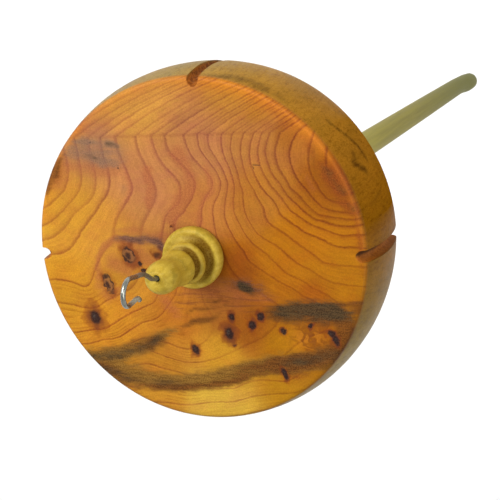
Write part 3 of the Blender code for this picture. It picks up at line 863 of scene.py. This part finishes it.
def ring_marks(net, wood):
    """Ring number, and masks of the lines drawn from it."""
    figure, fx, fy = wood.figure, wood.fx, wood.fy
    up = net.ramp(fy, start=FOLD_Y - 0.02, end=FOLD_Y + 0.02)
    ring = net.attr("ring_low") * (1.0 - up) + net.attr("ring_up") * up
    grad = net.attr("grad_low") * (1.0 - up) + net.attr("grad_up") * up
    # the wobble is in mm, so close rings don't cross
    broad = net.noise(figure, scale=0.42, detail=3.0, rough=0.55) - 0.5
    small = net.noise(figure, scale=1.6) - 0.5
    jagged = net.noise(figure * (0.25, 1.9, 0.0), rough=0.6) - 0.5
    shift = broad * 0.42 + small * 0.14 + jagged * 0.30
    ring = ring + shift * net.min(grad, 0.9)
    which = net.math("FLOOR", ring)
    part = net.fract(ring)
    before = (1.0 - part) / grad    # mm to the line ahead
    after = part / grad

    # main lines, thicker at the upper left and right
    bold = net.ramp(net.white(which), start=0.0, end=1.0, out=(0.62, 1.0), smooth=False)
    patch = net.ramp(net.noise(figure, scale=0.16), start=0.35, end=0.65, out=(0.72, 1.0))
    leftward = net.ramp(fx, start=6.0, end=-6.0) * net.ramp(fy, start=-6.0, end=2.0)
    rightward = net.ramp(fx, start=9.5, end=17.0) * net.ramp(fy, start=-10.0, end=-2.0)
    vary = net.ramp(net.noise(figure + (5.0, 1.0, 8.0), scale=0.30), start=0.3, end=0.7)
    thick = 0.27 + vary * 0.32 + leftward * 0.48 + rightward * 0.13
    thick = net.min(thick, 0.42 / grad)
    behind = 0.20 + net.max(leftward, rightward) * 0.12
    line = net.max(net.ramp(before, start=thick, end=0.02),
                   net.ramp(after, start=behind, end=0.0))
    weight = bold * patch * net.attr("lines")
    line = line * weight
    shade = net.ramp(before, start=1.5, end=0.0) * weight

    # close rings between the main ones
    half = net.fract(ring * 2.0 + 0.06)
    half_grad = grad * 2.0
    half_line = net.max(net.ramp((1.0 - half) / half_grad, start=0.30, end=0.05),
                        net.ramp(half / half_grad, start=0.16, end=0.0))
    broken = net.ramp(net.noise(figure + (9.0, 4.0, 0.0), scale=0.42),
                      start=0.34, end=0.60, out=(0.15, 1.0))
    half_line = half_line * net.attr("dense") * (broken * 0.62)
    line = net.max(line, half_line * patch)

    # finer rings, streaks along the rings, and broken flow lines
    fine = net.fract(ring * 3.0)
    fine = net.ramp(fine, start=0.55, end=1.0) * net.ramp(fine, start=1.0, end=0.97)
    along = net.join(ring * 7.0, fx * 0.10, fy * 0.10)
    streak = net.noise(along, detail=3.0, rough=0.6) - 0.5
    flow = net.fract(ring * 5.0)
    flow = net.ramp(flow, start=0.45, end=0.92) * net.ramp(flow, start=1.0, end=0.93)
    flow = flow * net.ramp(net.noise(figure + (3.0, 17.0, 5.0), scale=0.35),
                           start=0.40, end=0.62)
    flow = flow * net.attr("flow")
    return SimpleNamespace(up=up, ring=ring, which=which, line=line, shade=shade, fine=fine,
                           streak=streak, flow=flow, leftward=leftward, rightward=rightward)


def knot_marks(net, wood):
    """Masks of the pips and knots: dark core, halo, the tones around them, and a painted sheen on
    the core.
    """
    figure = wood.figure
    warp = sway(net, figure, scale=1.1)
    core_place = figure + warp * (0.55, 0.55, 0.0)
    core_place = core_place + sway(net, figure, scale=2.6) * (0.40, 0.40, 0.0)
    halo_place = figure + wood.sway * (3.2, 3.2, 0.0) + warp * (0.7, 0.7, 0.0)
    eye_place = figure + warp * (1.5, 1.5, 0.0)
    masks = dict.fromkeys(("core", "halo", "pale", "smoke", "red_rim", "heart"), 0.0)

    def keep(name, mask):
        masks[name] = net.max(masks[name], mask)

    for x, y, half_x, half_y, tilt, reach, kind in KNOTS:
        c, s = cos(radians(tilt)), sin(radians(tilt))

        def span(place):
            """Distance from the knot in half-widths."""
            offset = place - (x, y, 0.0)
            across = net.vector("DOT_PRODUCT", offset, (c, s, 0.0)) / half_x
            along = net.vector("DOT_PRODUCT", offset, (-s, c, 0.0)) / half_y
            return net.vector("LENGTH", net.join(across, along, 0.0))

        rho = span(eye_place if kind == "eye" else core_place)
        if kind == "tick":
            core = net.ramp(span(figure), start=1.2, end=0.6) * 0.7
            halo = 0.0
        else:
            wide = span(halo_place)
            halo = net.ramp(wide, start=reach, end=0.8)
        if kind == "eye":       # a broken ring round a pale middle and an inner dot
            part = net.ramp(net.noise(figure + (x, 2.0, 1.0), scale=0.75, detail=1.0),
                            start=0.34, end=0.56, out=(0.40, 1.0))
            core = net.ramp(rho, start=1.12, end=0.92) * net.ramp(rho, start=0.55, end=0.82)
            core = core * (part * 0.92)
            inner = span(core_place + (0.18 * half_x, 0.10 * half_y, 0.0))
            core = net.max(core, net.ramp(inner, start=0.62, end=0.22) * 0.92)
            keep("pale", net.ramp(rho, start=1.0, end=0.7) * 0.42)
            keep("smoke", halo * 0.66)
        elif kind == "smoke":
            core = net.ramp(wide, start=1.3, end=0.2) * 0.72
            keep("smoke", halo * 0.70)
        elif kind == "big":
            core = net.ramp(rho, start=1.25, end=0.60)
            keep("smoke", net.ramp(wide, start=0.92 * reach, end=0.8) * 0.90)
            outside = net.ramp(wide, start=reach, end=reach * 0.80)
            inside = net.ramp(wide, start=reach * 0.40, end=reach * 0.80)
            keep("red_rim", outside * inside * 0.32)
        elif kind == "pip":
            core = net.ramp(rho, start=1.32, end=0.72)
            keep("smoke", net.ramp(wide, start=0.78 * reach, end=0.8) * 0.80)
        if kind in ("big", "pip"):
            # painted sheen: a grey highlight on the dark core of big knots and pips, set towards
            # the upper left
            middle = span(core_place + (0.25 * half_x, -0.15 * half_y, 0.0))
            most = 0.55 if kind == "big" else 0.28
            keep("heart", net.ramp(middle, start=0.58, end=0.10, out=(0.0, most)))
        keep("core", core)
        keep("halo", halo)
        rim = net.ramp(rho, start=1.9, end=1.2) * net.ramp(rho, start=0.95, end=1.2)
        keep("red_rim", rim * (0.0 if kind == "tick" else 0.28))
    return SimpleNamespace(**masks)


def stain_texture(net, wood, ring):
    """Mottling of the stains, drawn out sideways."""
    flow = net.noise(net.join(wood.fx * 0.30 + ring * 0.25, wood.fy * 1.15, 0.0),
                     detail=4.0, rough=0.62)
    thread = net.noise(net.join(wood.fx * 0.35, (wood.fy + ring * 0.4) * 2.6, 6.0),
                       detail=3.0, rough=0.65)
    pepper = net.noise(wood.point, scale=3.0, rough=0.75)
    grit = net.noise(wood.point, scale=4.4, detail=1.0)
    edge = (flow - 0.5) * 1.15 + (pepper - 0.5) * 0.70
    soft_edge = edge * 0.75
    edge = edge + (thread - 0.5) * 0.45 + (grit - 0.5) * 0.45
    mottle = net.ramp(thread * 0.45 + grit * 0.55, start=0.39, end=0.59)
    return SimpleNamespace(pepper=pepper, grit=grit, edge=edge, soft_edge=soft_edge,
                           mottle=mottle)


def color_rings(net, wood, rings):
    """Broad colour with the rings and the pleat on it."""
    face, fx = wood.face, wood.fx
    wash = net.attr("wash", color=True)
    rose = net.ramp(net.noise(wood.figure * (0.16, 0.26, 0.0), detail=3.0, rough=0.6),
                    start=0.42, end=0.66)
    wash = net.tint(wash, rose * face * 0.55, factors=(0.90, 0.76, 1.06))
    # brightness differs by place, by ring and along the streaks
    vivid = net.noise(wood.figure, scale=0.33, detail=3.0, rough=0.6) * 0.26 + 0.87
    tone = net.white(rings.which + 40.0) - 0.5
    vivid = vivid + tone * face * (net.attr("lines") * 0.13)
    color = net.scale(wash, vivid)
    color = net.scale(color, 1.0 + rings.streak * (0.14 + face * 0.20))
    # rings are weaker on the side and above the pleat
    strength = face * 0.86 + 0.14 + net.attr("plainer") * 0.34
    strength = strength * (1.0 - rings.up * 0.22)
    color = net.tint(color, rings.shade * strength * 0.40, factors=(0.74, 0.56, 0.86))
    color = net.tint(color, rings.fine * strength * 0.16, factors=(0.62, 0.48, 0.60))
    fray = net.ramp(net.noise(wood.point, scale=2.2, rough=0.7),
                    start=0.34, end=0.62, out=(0.62, 1.0))
    fray = fray * (1.0 - rings.leftward * 0.20)
    color = net.tint(color, rings.line * fray * strength, factors=(0.56, 0.38, 0.64))
    firm = rings.line * fray * strength * (rings.rightward * 0.26)
    color = net.tint(color, firm, factors=(0.62, 0.46, 0.70))
    # the pleat itself
    wave = (net.noise(net.join(fx, 0.0, 0.0), scale=0.5) - 0.5) * 1.2
    off = abs(wood.fy - FOLD_Y - wave)
    length = net.ramp(fx, start=-24.0, end=-16.0) * net.ramp(fx, start=19.0, end=13.0)
    pleat = net.ramp(off, start=0.50, end=0.08) * length * (face * 0.30)
    color = net.tint(color, pleat, factors=(0.58, 0.38, 0.60))
    return net.tint(color, rings.flow * strength * 0.55, factors=(0.58, 0.42, 0.44))


def color_burr(net, wood, line, color):
    """Pale swirls with brown outlines, the glowing edge and the brown fibres."""
    swirl = net.noise(wood.figure + wood.sway * (3.4, 3.4, 0.0),
                      scale=0.36, detail=1.0, rough=0.4)
    contour = abs(net.fract(swirl * 3.6) - 0.5)
    burr = net.attr("burr")
    pale = burr * net.ramp(contour, start=0.16, end=0.34, out=(0.0, 0.42))
    color = net.mix(pale, color, srgb(184, 114, 30))
    outline = burr * net.ramp(contour, start=0.22, end=0.02, out=(0.0, 0.55))
    color = net.mix(outline, color, srgb(116, 64, 22))
    color = net.mix(net.attr("glow") * 0.50, color,
                    net.mix(line, srgb(196, 112, 6), srgb(128, 54, 6)))
    # streaky brown fibres below the finial
    fibre = net.noise(net.join(wood.fx * 0.16 + wood.fy * 0.1, wood.fy * 1.7, 3.0),
                      detail=3.0, rough=0.6)
    fibre = net.ramp(fibre, start=0.50, end=0.64) * net.attr("fibre")
    return net.mix(fibre * 0.60, color, srgb(104, 56, 30))


def color_stains(net, texture, color):
    for kind, deep, light, most in STAIN_COLORS:
        soft = kind in ("red", "mauve", "grey")
        cover = net.attr("stain_" + kind) * 1.62
        edge = texture.soft_edge if soft else texture.edge
        cover = cover + edge * net.ramp(cover, start=0.02, end=0.45)
        cover = net.ramp(cover, start=0.04, end=1.0, out=(0.0, most))
        blend = net.ramp(texture.grit, start=0.34, end=0.64) if soft else texture.mottle
        color = net.mix(cover, color, net.mix(blend, srgb(*deep), srgb(*light)))
    return color


def color_knots(net, knots, texture, color):
    color = net.tint(color, knots.halo * 0.55, factors=(0.78, 0.42, 0.26))
    color = net.mix(knots.red_rim, color, srgb(116, 50, 16))
    color = net.mix(knots.smoke * (0.40 + texture.pepper * 0.7), color, srgb(90, 47, 28))
    color = net.mix(knots.pale, color, srgb(128, 92, 58))
    core = net.mix(net.ramp(texture.grit, start=0.38, end=0.62),
                   srgb(27, 18, 18), srgb(50, 33, 30))
    color = net.mix(knots.core * 0.95, color, core)
    # painted sheen on the dark knot cores
    heart = knots.heart * net.ramp(texture.pepper, start=0.36, end=0.60)
    return net.mix(heart, color, srgb(78, 70, 64))


def color_side(net, wood, texture, color):
    """The turned side: golden mottle, dark flecks along the axis, marks, and the painted highlight
    and painted shade of its rim.
    """
    point, side = wood.point, wood.side
    blot = net.noise(net.join(wood.x * 0.16, wood.y * 0.16, wood.z * 0.10),
                     detail=3.0, rough=0.6)
    color = net.tint(color, side * net.ramp(blot, start=0.42, end=0.62, out=(0.0, 0.34)),
                     factors=(1.42, 1.36, 1.2))
    fleck = net.noise(point * (1.5, 1.5, 0.5), detail=3.0, rough=0.7)
    color = net.tint(color, side * net.ramp(fleck, start=0.48, end=0.72, out=(0.0, 0.60)),
                     factors=(0.55, 0.48, 0.40))
    sand = net.noise(point * (2.6, 2.6, 2.2), rough=0.7)
    color = net.tint(color, side * net.ramp(sand, start=0.46, end=0.66, out=(0.0, 0.42)),
                     factors=(0.62, 0.55, 0.45))
    mark = net.attr("marks") + texture.edge * net.ramp(net.attr("marks"), start=0.03, end=0.40)
    mark = net.ramp(mark, start=0.05, end=0.95, out=(0.0, 0.88), smooth=False)
    color = net.mix(mark, color, srgb(66, 40, 12))
    # painted highlight on the rounded edge of the face
    edge_light = net.mix(0.40, net.times(color, (1.26, 1.28, 1.12)), srgb(204, 122, 42))
    color = net.mix(net.attr("rim") * 0.58, color, edge_light)
    # painted shade on the rim where it turns from the light
    return net.tint(color, net.attr("rim_dark"), factors=(0.45, 0.42, 0.40))


def color_notches(net, wood, color):
    """Raw brown wood in the filed notches, lighter in the notch at +X, with painted shade on one
    wall of that notch.
    """
    filed = net.mix(net.ramp(net.noise(wood.point, scale=1.4, detail=3.0, rough=0.6),
                             start=0.35, end=0.65), srgb(112, 56, 12), srgb(168, 96, 28))
    filed = net.mix(net.ramp(wood.x, start=15.0, end=28.0, out=(0.0, 0.55)),
                    filed, srgb(150, 84, 22))
    # painted shade on the wall of the notch at +X that is turned from the light
    filed = net.mix(net.attr("shady"), filed, srgb(62, 34, 11))
    return net.mix(net.attr("notch") * 0.90, color, filed)


def yew_material():
    net = Net("yew_figured")
    wood = wood_space(net)
    rings = ring_marks(net, wood)
    knots = knot_marks(net, wood)
    texture = stain_texture(net, wood, rings.ring)
    color = color_rings(net, wood, rings)
    color = color_burr(net, wood, rings.line, color)
    color = color_stains(net, texture, color)
    color = color_knots(net, knots, texture, color)
    color = color_side(net, wood, texture, color)
    color = color_notches(net, wood, color)
    # fine speckle
    speck = net.noise(wood.point, scale=3.0, rough=0.7)
    long_speck = net.noise(wood.point * (1.0, 1.0, 0.35), scale=5.5, detail=1.0)
    color = net.scale(color, 0.53 + (speck * 0.50 + long_speck * 0.46))
    rough = 0.44 + (net.noise(wood.point, scale=0.8, detail=3.0) - 0.5) * 0.22
    rough = rough + rings.line * 0.06 + net.attr("notch") * 0.25
    height = rings.line * -0.5 + long_speck * 0.35 + knots.core * -1.6 + rings.streak * 0.5
    net.surface({"Base Color": color, "Roughness": rough,
                 "Specular IOR Level": net.attr("polish"),
                 "Normal": net.bump(height, distance=0.00003, strength=0.6)})
    return net.material


# ---------------------------------------------------------------------------
# Shaft
# ---------------------------------------------------------------------------
SHAFT_R, SHAFT_LOW_R = 3.45, 2.34   # under the whorl, and towards the tip
TIP_H, TIP_R = 2.0, 0.6             # rounded tip and its flat end
PEG_R = 2.0                         # peg inside the finial
BEND_H, BEND = 20.0, 0.75           # the last stretch bends towards -Y


def shaft_radius(z):
    u = max(0.0, 1.0 - z / (Z_TOP - THICK))
    swell = 0.25 * exp(-((z - 7.0) / 5.5) ** 2)
    r = SHAFT_LOW_R + (SHAFT_R - SHAFT_LOW_R) * (1.0 - u ** 1.5) + swell
    if z < TIP_H:
        v = 1.0 - z / TIP_H
        r = TIP_R + (r - TIP_R) * sqrt(max(0.0, 1.0 - v ** 2.2))
    return r


def build_shaft():
    points = [(0.0, Z_TOP + 6.0), (1.6, Z_TOP + 6.0), (PEG_R, Z_TOP + 5.6),
              (PEG_R, Z_TOP + 0.1), (SHAFT_R, Z_TOP - 0.02)]
    points += [(min(SHAFT_R, shaft_radius(z)), z) for z in march(Z_TOP - 4.0, 20.0, -3.0)]
    points += [(shaft_radius(z), z) for z in march(19.0, 2.2, -0.8)]
    for angle in range(0, 91, 9):
        z = TIP_H * (1.0 - sin(radians(angle)))
        points.append((shaft_radius(z), z))
    points.append((0.0, 0.0))

    def wobble(angle, z):
        return 0.012 * sin(2 * angle + z * 0.05) if z < 190 else 0.0

    ob = revolve("shaft_turned", points, columns=72, wobble=wobble)
    for vertex in ob.data.vertices:
        t = max(0.0, 1.0 - vertex.co.z / (BEND_H * MM))
        vertex.co.y -= BEND * MM * t * t * (3.0 - 2.0 * t)
    ob.data.set_sharp_from_angle(angle=radians(50.0))
    return ob


def shaft_material():
    net = Net("pale_close_grain")
    point = net.object_mm()
    x, y, z = net.split(point)
    along = net.join(x * 1.1, y * 1.1, z * 0.045)
    grain = net.noise(along, detail=4.0, rough=0.6)
    fine = net.noise(along * (3.2, 3.2, 2.0))
    speck = net.noise(point, scale=4.0, rough=0.6)
    color = net.mix(net.ramp(grain, start=0.32, end=0.70),
                    srgb(124, 113, 44), srgb(140, 130, 54))
    color = net.mix(net.ramp(fine, start=0.52, end=0.72) * 0.22, color, srgb(116, 104, 48))
    # greener at the tip, paler towards the whorl
    color = net.mix(net.ramp(z, start=90.0, end=0.0) * 0.88, color, srgb(98, 98, 36))
    color = net.mix(net.ramp(z, start=80.0, end=185.0, out=(0.0, 0.85)),
                    color, srgb(188, 172, 68))
    color = net.scale(color, 0.91 + speck * 0.18)
    lathe = net.noise(net.join(0.0, 0.0, z), scale=2.2, rough=0.6)
    height = fine * 0.6 + lathe * 0.4
    net.surface({"Base Color": color, "Roughness": 0.40 + grain * 0.12,
                 "Specular IOR Level": 0.06,
                 "Normal": net.bump(height, distance=0.00004, strength=0.5)})
    return net.material


# ---------------------------------------------------------------------------
# Finial
# ---------------------------------------------------------------------------
# Outline from the wire's hole down to the foot: radius, height above the whorl
# (drawn 20 mm tall)
FINIAL_KEYS = [
    (0.98, 19.92), (1.50, 19.76), (2.20, 19.22), (2.80, 18.34), (3.08, 17.20), (3.12, 15.90),
    (2.98, 14.60), (2.99, 13.30), (3.12, 12.00), (3.36, 10.90), (3.54, 10.10), (3.56, 9.70),
    (3.42, 9.40), (3.00, 9.18), (2.60, 8.80), (2.46, 8.20), (2.48, 7.56), (2.66, 7.06),
    (3.00, 6.84), (3.46, 6.72), (3.84, 6.48), (4.05, 6.06), (4.08, 5.62), (3.98, 5.20),
    (3.68, 4.90), (3.46, 4.56), (3.44, 4.10), (3.58, 3.56), (3.92, 3.12), (4.34, 2.90),
    (4.80, 2.82), (5.22, 2.80), (5.56, 2.72), (5.82, 2.48), (6.02, 2.06), (6.09, 1.50),
    (6.06, 0.90), (5.95, 0.36), (5.76, 0.03),
]
FINIAL_SCALE = FINIAL_H / 20.0 * 0.98
FINIAL_X, FINIAL_Y = -0.44, -0.92       # the finial sits a hair off the middle
# height, shift in x, shift in y
FINIAL_LEAN = [(0.0, -0.17, -0.04), (2.8, -0.17, -0.04), (5.6, 0.08, -0.06),
               (10.0, 0.13, 0.04), (14.0, 0.06, 0.02), (17.0, 0.0, 0.0)]
HOOK_X, HOOK_Y = -0.16, -0.36           # where the wire enters


def build_finial():
    hole = [(0.0, 14.0), (0.56, 14.0), (0.56, 19.60), (0.62, 19.84), (0.78, 19.93)]
    socket = [(4.6, 0.03), (3.4, 0.03), (2.2, 0.03), (2.2, 6.1), (0.0, 6.1)]
    points = hole + spline(FINIAL_KEYS, step=0.14) + socket
    points = [(r, z * FINIAL_SCALE + Z_TOP) for r, z in points]
    ob = revolve("finial_turned", points, columns=112)
    ob.data.transform(Matrix.Translation(Vector((FINIAL_X, FINIAL_Y, 0.0)) * MM))
    ob.data.set_sharp_from_angle(angle=radians(55.0))
    points = points_mm(ob)
    z = points[:, 2] - Z_TOP
    r = np.hypot(points[:, 0] - FINIAL_X, points[:, 1] - FINIAL_Y)
    paint_finial(ob, points, r, z)
    # lean the stem, and bring the hole over to the wire
    share = unit((2.3 - r) / 1.3) * (z > 13.0)
    share = share * share * (3.0 - 2.0 * share)
    heights, lean_x, lean_y = zip(*FINIAL_LEAN)
    points[:, 0] += np.interp(z, heights, lean_x)
    points[:, 1] += np.interp(z, heights, lean_y)
    points[:, 0] += share * (HOOK_X - FINIAL_X)
    points[:, 1] += share * (HOOK_Y - FINIAL_Y)
    ob.data.vertices.foreach_set("co", (points * MM).ravel())
    ob.data.update()
    return ob


def paint_finial(ob, points, r, z):
    """Painted shade in the grooves, the coves and at the foot, deepest on the side 8 degrees round
    from +X, and painted shade in the wire's hole.
    """
    turn = np.arctan2(points[:, 1] - FINIAL_Y, points[:, 0] - FINIAL_X)
    facing = np.clip(0.30 + 0.90 * np.cos(turn - radians(8.0)), 0.16, 1.0)
    neck = 1.1 * bell(z - 8.0, 1.2) * unit(facing + 0.25)
    low_cove = 1.15 * facing * (z < 5.0) * (z > 2.2) * unit((5.3 - r) / 0.6)
    ledge = 0.9 * (z > 6.5) * (z < 7.6) * unit((3.62 - r) / 0.35) * unit(facing + 0.1)
    # painted contact shade where the foot meets the whorl
    foot = 0.9 * bell(z, 0.35)
    set_attr(ob, "groove", unit(neck + low_cove + ledge + foot))
    # painted shade inside the wire's hole
    set_attr(ob, "hole", (r < 0.60) & (z > 13.0))


def finial_material():
    net = Net("yellow_boxwood")
    point = net.object_mm()
    x, y, z = net.split(point)
    grain = net.noise(net.join(x * 0.85, y * 0.85, z * 0.16), detail=3.0, rough=0.6)
    blot = net.noise(point, scale=0.42, detail=3.0, rough=0.55)
    speck = net.noise(point, scale=3.6, rough=0.65)
    fine_speck = net.noise(point, scale=7.5, detail=1.0)
    color = net.mix(net.ramp(grain, start=0.30, end=0.70),
                    srgb(166, 136, 38), srgb(182, 154, 54))
    color = net.mix(net.ramp(blot, start=0.50, end=0.66) * 0.50, color, srgb(136, 116, 32))
    pale = net.ramp(net.noise(point, scale=0.9, rough=0.6), start=0.52, end=0.70)
    color = net.mix(pale * 0.35, color, srgb(194, 168, 78))
    # painted shade in the grooves, coves and at the foot, darkest on the side towards +X
    deep = net.attr("groove") * net.ramp(speck, start=0.30, end=0.62, out=(1.0, 0.80))
    color = net.mix(deep * 0.97, color, srgb(88, 54, 3))
    color = net.scale(color, 0.68 + (speck * 0.42 + fine_speck * 0.24))
    # painted shade in the wire's hole
    color = net.mix(net.attr("hole"), color, srgb(66, 54, 26))
    lathe = net.noise(net.join(0.0, 0.0, z), scale=5.0, rough=0.6)
    height = lathe * 0.5 + speck * 0.5
    net.surface({"Base Color": color, "Roughness": 0.42 + blot * 0.12,
                 "Specular IOR Level": 0.18 - deep * 0.16,
                 "Normal": net.bump(height, distance=0.00005, strength=0.5)})
    return net.material


# ---------------------------------------------------------------------------
# Hook
# ---------------------------------------------------------------------------
HOOK_PLANE = radians(83.0)      # the hook's plane, turned from +X
WIRE_R = 0.46
WIRE_COLUMNS = 28
# (offset in the hook's plane, height above the whorl): stem, bow, then the short leg
HOOK_STEM = [
    (0.0, 14.2), (0.0, 17.0), (0.02, 19.0), (0.15, 20.1), (0.62, 21.6), (1.45, 23.2),
    (2.20, 24.7), (2.60, 26.4), (2.78, 28.3), (2.98, 29.8), (3.14, 31.0)]
HOOK_BOW = arc((0.70, 31.3), radius=2.46, start=6.0, end=180.0, steps=12)
HOOK_LEG = [(-1.62, 30.0), (-1.50, 29.0), (-1.40, 28.2), (-1.50, 27.4), (-1.90, 26.8)]


def build_hook():
    path = spline(HOOK_STEM + HOOK_BOW + HOOK_LEG, step=0.16)
    centers = np.array([(offset * cos(HOOK_PLANE) + HOOK_X, offset * sin(HOOK_PLANE) + HOOK_Y,
                         height + Z_TOP) for offset, height in path])
    tangents = np.gradient(centers, axis=0)
    tangents /= np.linalg.norm(tangents, axis=1)[:, None]
    side = np.array([sin(HOOK_PLANE), -cos(HOOK_PLANE), 0.0])   # normal of the hook's plane
    normals = np.cross(side, tangents)
    angles = [2 * pi * k / WIRE_COLUMNS for k in range(WIRE_COLUMNS)]

    def ring(center, normal, radius):
        return [center + radius * (cos(a) * normal + sin(a) * side) for a in angles]

    rings = [[centers[0]]]
    rings += [ring(center, normal, WIRE_R) for center, normal in zip(centers, normals)]
    # round the free end over
    end, tangent, normal = centers[-1], tangents[-1], normals[-1]
    for k in range(1, 7):
        a = radians(15.0 * k)
        radius = WIRE_R * (0.35 + 0.65 * cos(a)) if k < 6 else 0.30
        rings.append(ring(end + tangent * 0.32 * sin(a), normal, radius))
    rings.append([end + tangent * 0.33])
    ob = solid("hook_wire", rings)

    points = points_mm(ob)
    z = points[:, 2]
    offset = (points[:, 1] - HOOK_Y) / sin(HOOK_PLANE)
    # painted dark reflection on the stem and the end of the leg
    stem = unit((Z_TOP + 29.0 - z) / 3.0) * (offset > -0.7)
    leg_end = 0.9 * unit((Z_TOP + 27.7 - z) / 0.6) * (offset < -0.9)
    set_attr(ob, "tarnish", np.maximum(stem, leg_end))
    # painted pale reflection along the leg
    set_attr(ob, "leg", unit((Z_TOP + 31.6 - z) / 2.0) * unit((-0.9 - offset) / 0.3))
    ob.data.set_sharp_from_angle(angle=radians(60.0))
    return ob


def hook_material():
    """Bright wire; on the leg a paler, less metallic painted reflection, on the stem and the leg's
    end a dark, dull painted reflection.
    """
    net = Net("bright_drawn_wire")
    point = net.object_mm()
    fine = net.noise(point, scale=2.4, detail=3.0, rough=0.6)
    spots = net.noise(point, scale=7.0, rough=0.6)
    color = net.mix(net.ramp(fine, start=0.3, end=0.75),
                    (0.26, 0.27, 0.235), (0.34, 0.35, 0.305))
    color = net.mix(net.ramp(spots, start=0.60, end=0.75) * 0.16, color, (0.40, 0.39, 0.34))
    # painted pale reflection on the leg
    leg = net.attr("leg")
    color = net.mix(leg * 0.85, color, (0.37, 0.41, 0.33))
    # painted dark reflection on the stem and the leg's end
    tarnish = net.attr("tarnish")
    color = net.mix(tarnish * 0.94, color, (0.085, 0.078, 0.050))
    net.surface({"Base Color": color, "Metallic": 0.90 - net.max(tarnish * 0.84, leg * 0.60),
                 "Roughness": 0.20 + spots * 0.07,
                 "Normal": net.bump(fine, distance=0.000006, strength=0.30)})
    return net.material


# ---------------------------------------------------------------------------
# Stage: plain pale floor, soft studio light.  Metres from here on.
# ---------------------------------------------------------------------------
FLOOR_Z = shaft_low.z - 0.030
FLOOR_RADII = (0.25, 0.8, 2.0, 6.0)
FLOOR_COLUMNS = 64
BACKDROP = 0.62         # grey of the world near the horizon and of the far floor


def build_floor():
    bm = bmesh.new()
    rings = [[bm.verts.new((0.0, 0.0, FLOOR_Z))]]
    angles = [2 * pi * k / FLOOR_COLUMNS for k in range(FLOOR_COLUMNS)]
    for radius in FLOOR_RADII:
        rings.append([bm.verts.new((radius * cos(a), radius * sin(a), FLOOR_Z))
                      for a in angles])
    for face in bridge(rings):
        bm.faces.new(face)
    mesh = bpy.data.meshes.new("pale_floor")
    bm.to_mesh(mesh)
    bm.free()
    ob = bpy.data.objects.new("pale_floor", mesh)
    bpy.context.scene.collection.objects.link(ob)
    return ob


def floor_material():
    net = Net("pale_floor")
    sweep = net.noise(net.object_mm(), scale=0.004, detail=3.0, rough=0.55)
    pale = net.mix(net.ramp(sweep, start=0.3, end=0.7),
                   (0.852, 0.852, 0.847), (0.868, 0.868, 0.863))
    # far out the floor turns into the backdrop, so there is no horizon line
    x, y, _ = net.split(net.object_mm())
    distance = net.vector("LENGTH", net.join(x, y, 0.0))
    far = net.ramp(distance, start=450.0, end=2200.0)
    net.surface({"Base Color": net.mix(far, pale, (0.0, 0.0, 0.0)),
                 "Emission Color": (BACKDROP, BACKDROP, BACKDROP), "Emission Strength": far,
                 "Roughness": 0.66 + sweep * 0.08,
                 "Specular IOR Level": (1.0 - far) * 0.2})
    return net.material


def build_world():
    """A grey surround that darkens overhead."""
    world = bpy.data.worlds.new("studio")
    bpy.context.scene.world = world
    world.use_nodes = True
    nodes, links = world.node_tree.nodes, world.node_tree.links
    background = nodes["Background"]
    place = nodes.new("ShaderNodeTexCoord")
    split = nodes.new("ShaderNodeSeparateXYZ")
    ramp = nodes.new("ShaderNodeMapRange")
    ramp.interpolation_type = "SMOOTHSTEP"
    for key, value in (("From Min", 0.62), ("From Max", 0.84),
                       ("To Min", BACKDROP), ("To Max", 0.16)):
        ramp.inputs[key].default_value = value
    links.new(place.outputs["Generated"], split.inputs[0])
    links.new(split.outputs[2], ramp.inputs["Value"])
    links.new(ramp.outputs["Result"], background.inputs["Color"])
    background.inputs["Strength"].default_value = 1.0


def soft_light(name, location, target, size, power):
    light = bpy.data.lights.new(name, "AREA")
    light.shape = "DISK"
    light.size = size
    light.energy = power
    ob = bpy.data.objects.new(name, light)
    bpy.context.scene.collection.objects.link(ob)
    ob.location = location
    aim = Vector(target) - Vector(location)
    ob.rotation_euler = aim.to_track_quat("-Z", "Y").to_euler()


def build_camera():
    """Looks down at the whorl's face from beyond the hook."""
    data = bpy.data.cameras.new("camera")
    data.sensor_width = 36.0
    data.lens = 122.4
    data.clip_start = 0.01
    data.clip_end = 50.0
    camera = bpy.data.objects.new("camera", data)
    bpy.context.scene.collection.objects.link(camera)
    right = Vector((0.93087653, -0.08848965, -0.35445518))
    up = Vector((0.0, 0.9702224, -0.24221579))
    turn = Matrix((right, up, right.cross(up))).transposed().to_4x4()
    place = Vector((0.128293, 0.072729, Z_TOP * MM + 0.290599))
    camera.matrix_world = Matrix.Translation(place) @ turn
    bpy.context.scene.camera = camera


# ---------------------------------------------------------------------------
# Build
# ---------------------------------------------------------------------------
# builder, material, node it replaces, material slot
PIECES = [
    (build_whorl, yew_material, "whorl", "yew_whorl"),
    (build_shaft, shaft_material, "shaft", "boxwood_shaft"),
    (build_finial, finial_material, "finial", "boxwood_finial"),
    (build_hook, hook_material, "hook", "steel_wire"),
]
built = []
for build, material, node, slot in PIECES:
    piece = build()
    piece.data.materials.append(material())
    built.append((piece, node, slot))
for piece, node, slot in built:
    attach(piece, "root")
    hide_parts(node)

floor = build_floor()
floor.data.materials.append(floor_material())
build_world()
CENTER = (0.0, 0.0, 0.20)
soft_light("key", location=(-0.34, 0.52, 1.04), target=CENTER, size=0.85, power=12.8)
soft_light("fill", location=(0.62, -0.10, 0.98), target=CENTER, size=0.8, power=5.0)
build_camera()
bpy.context.scene.view_settings.view_transform = "Standard"
bpy.context.scene.view_settings.look = "None"
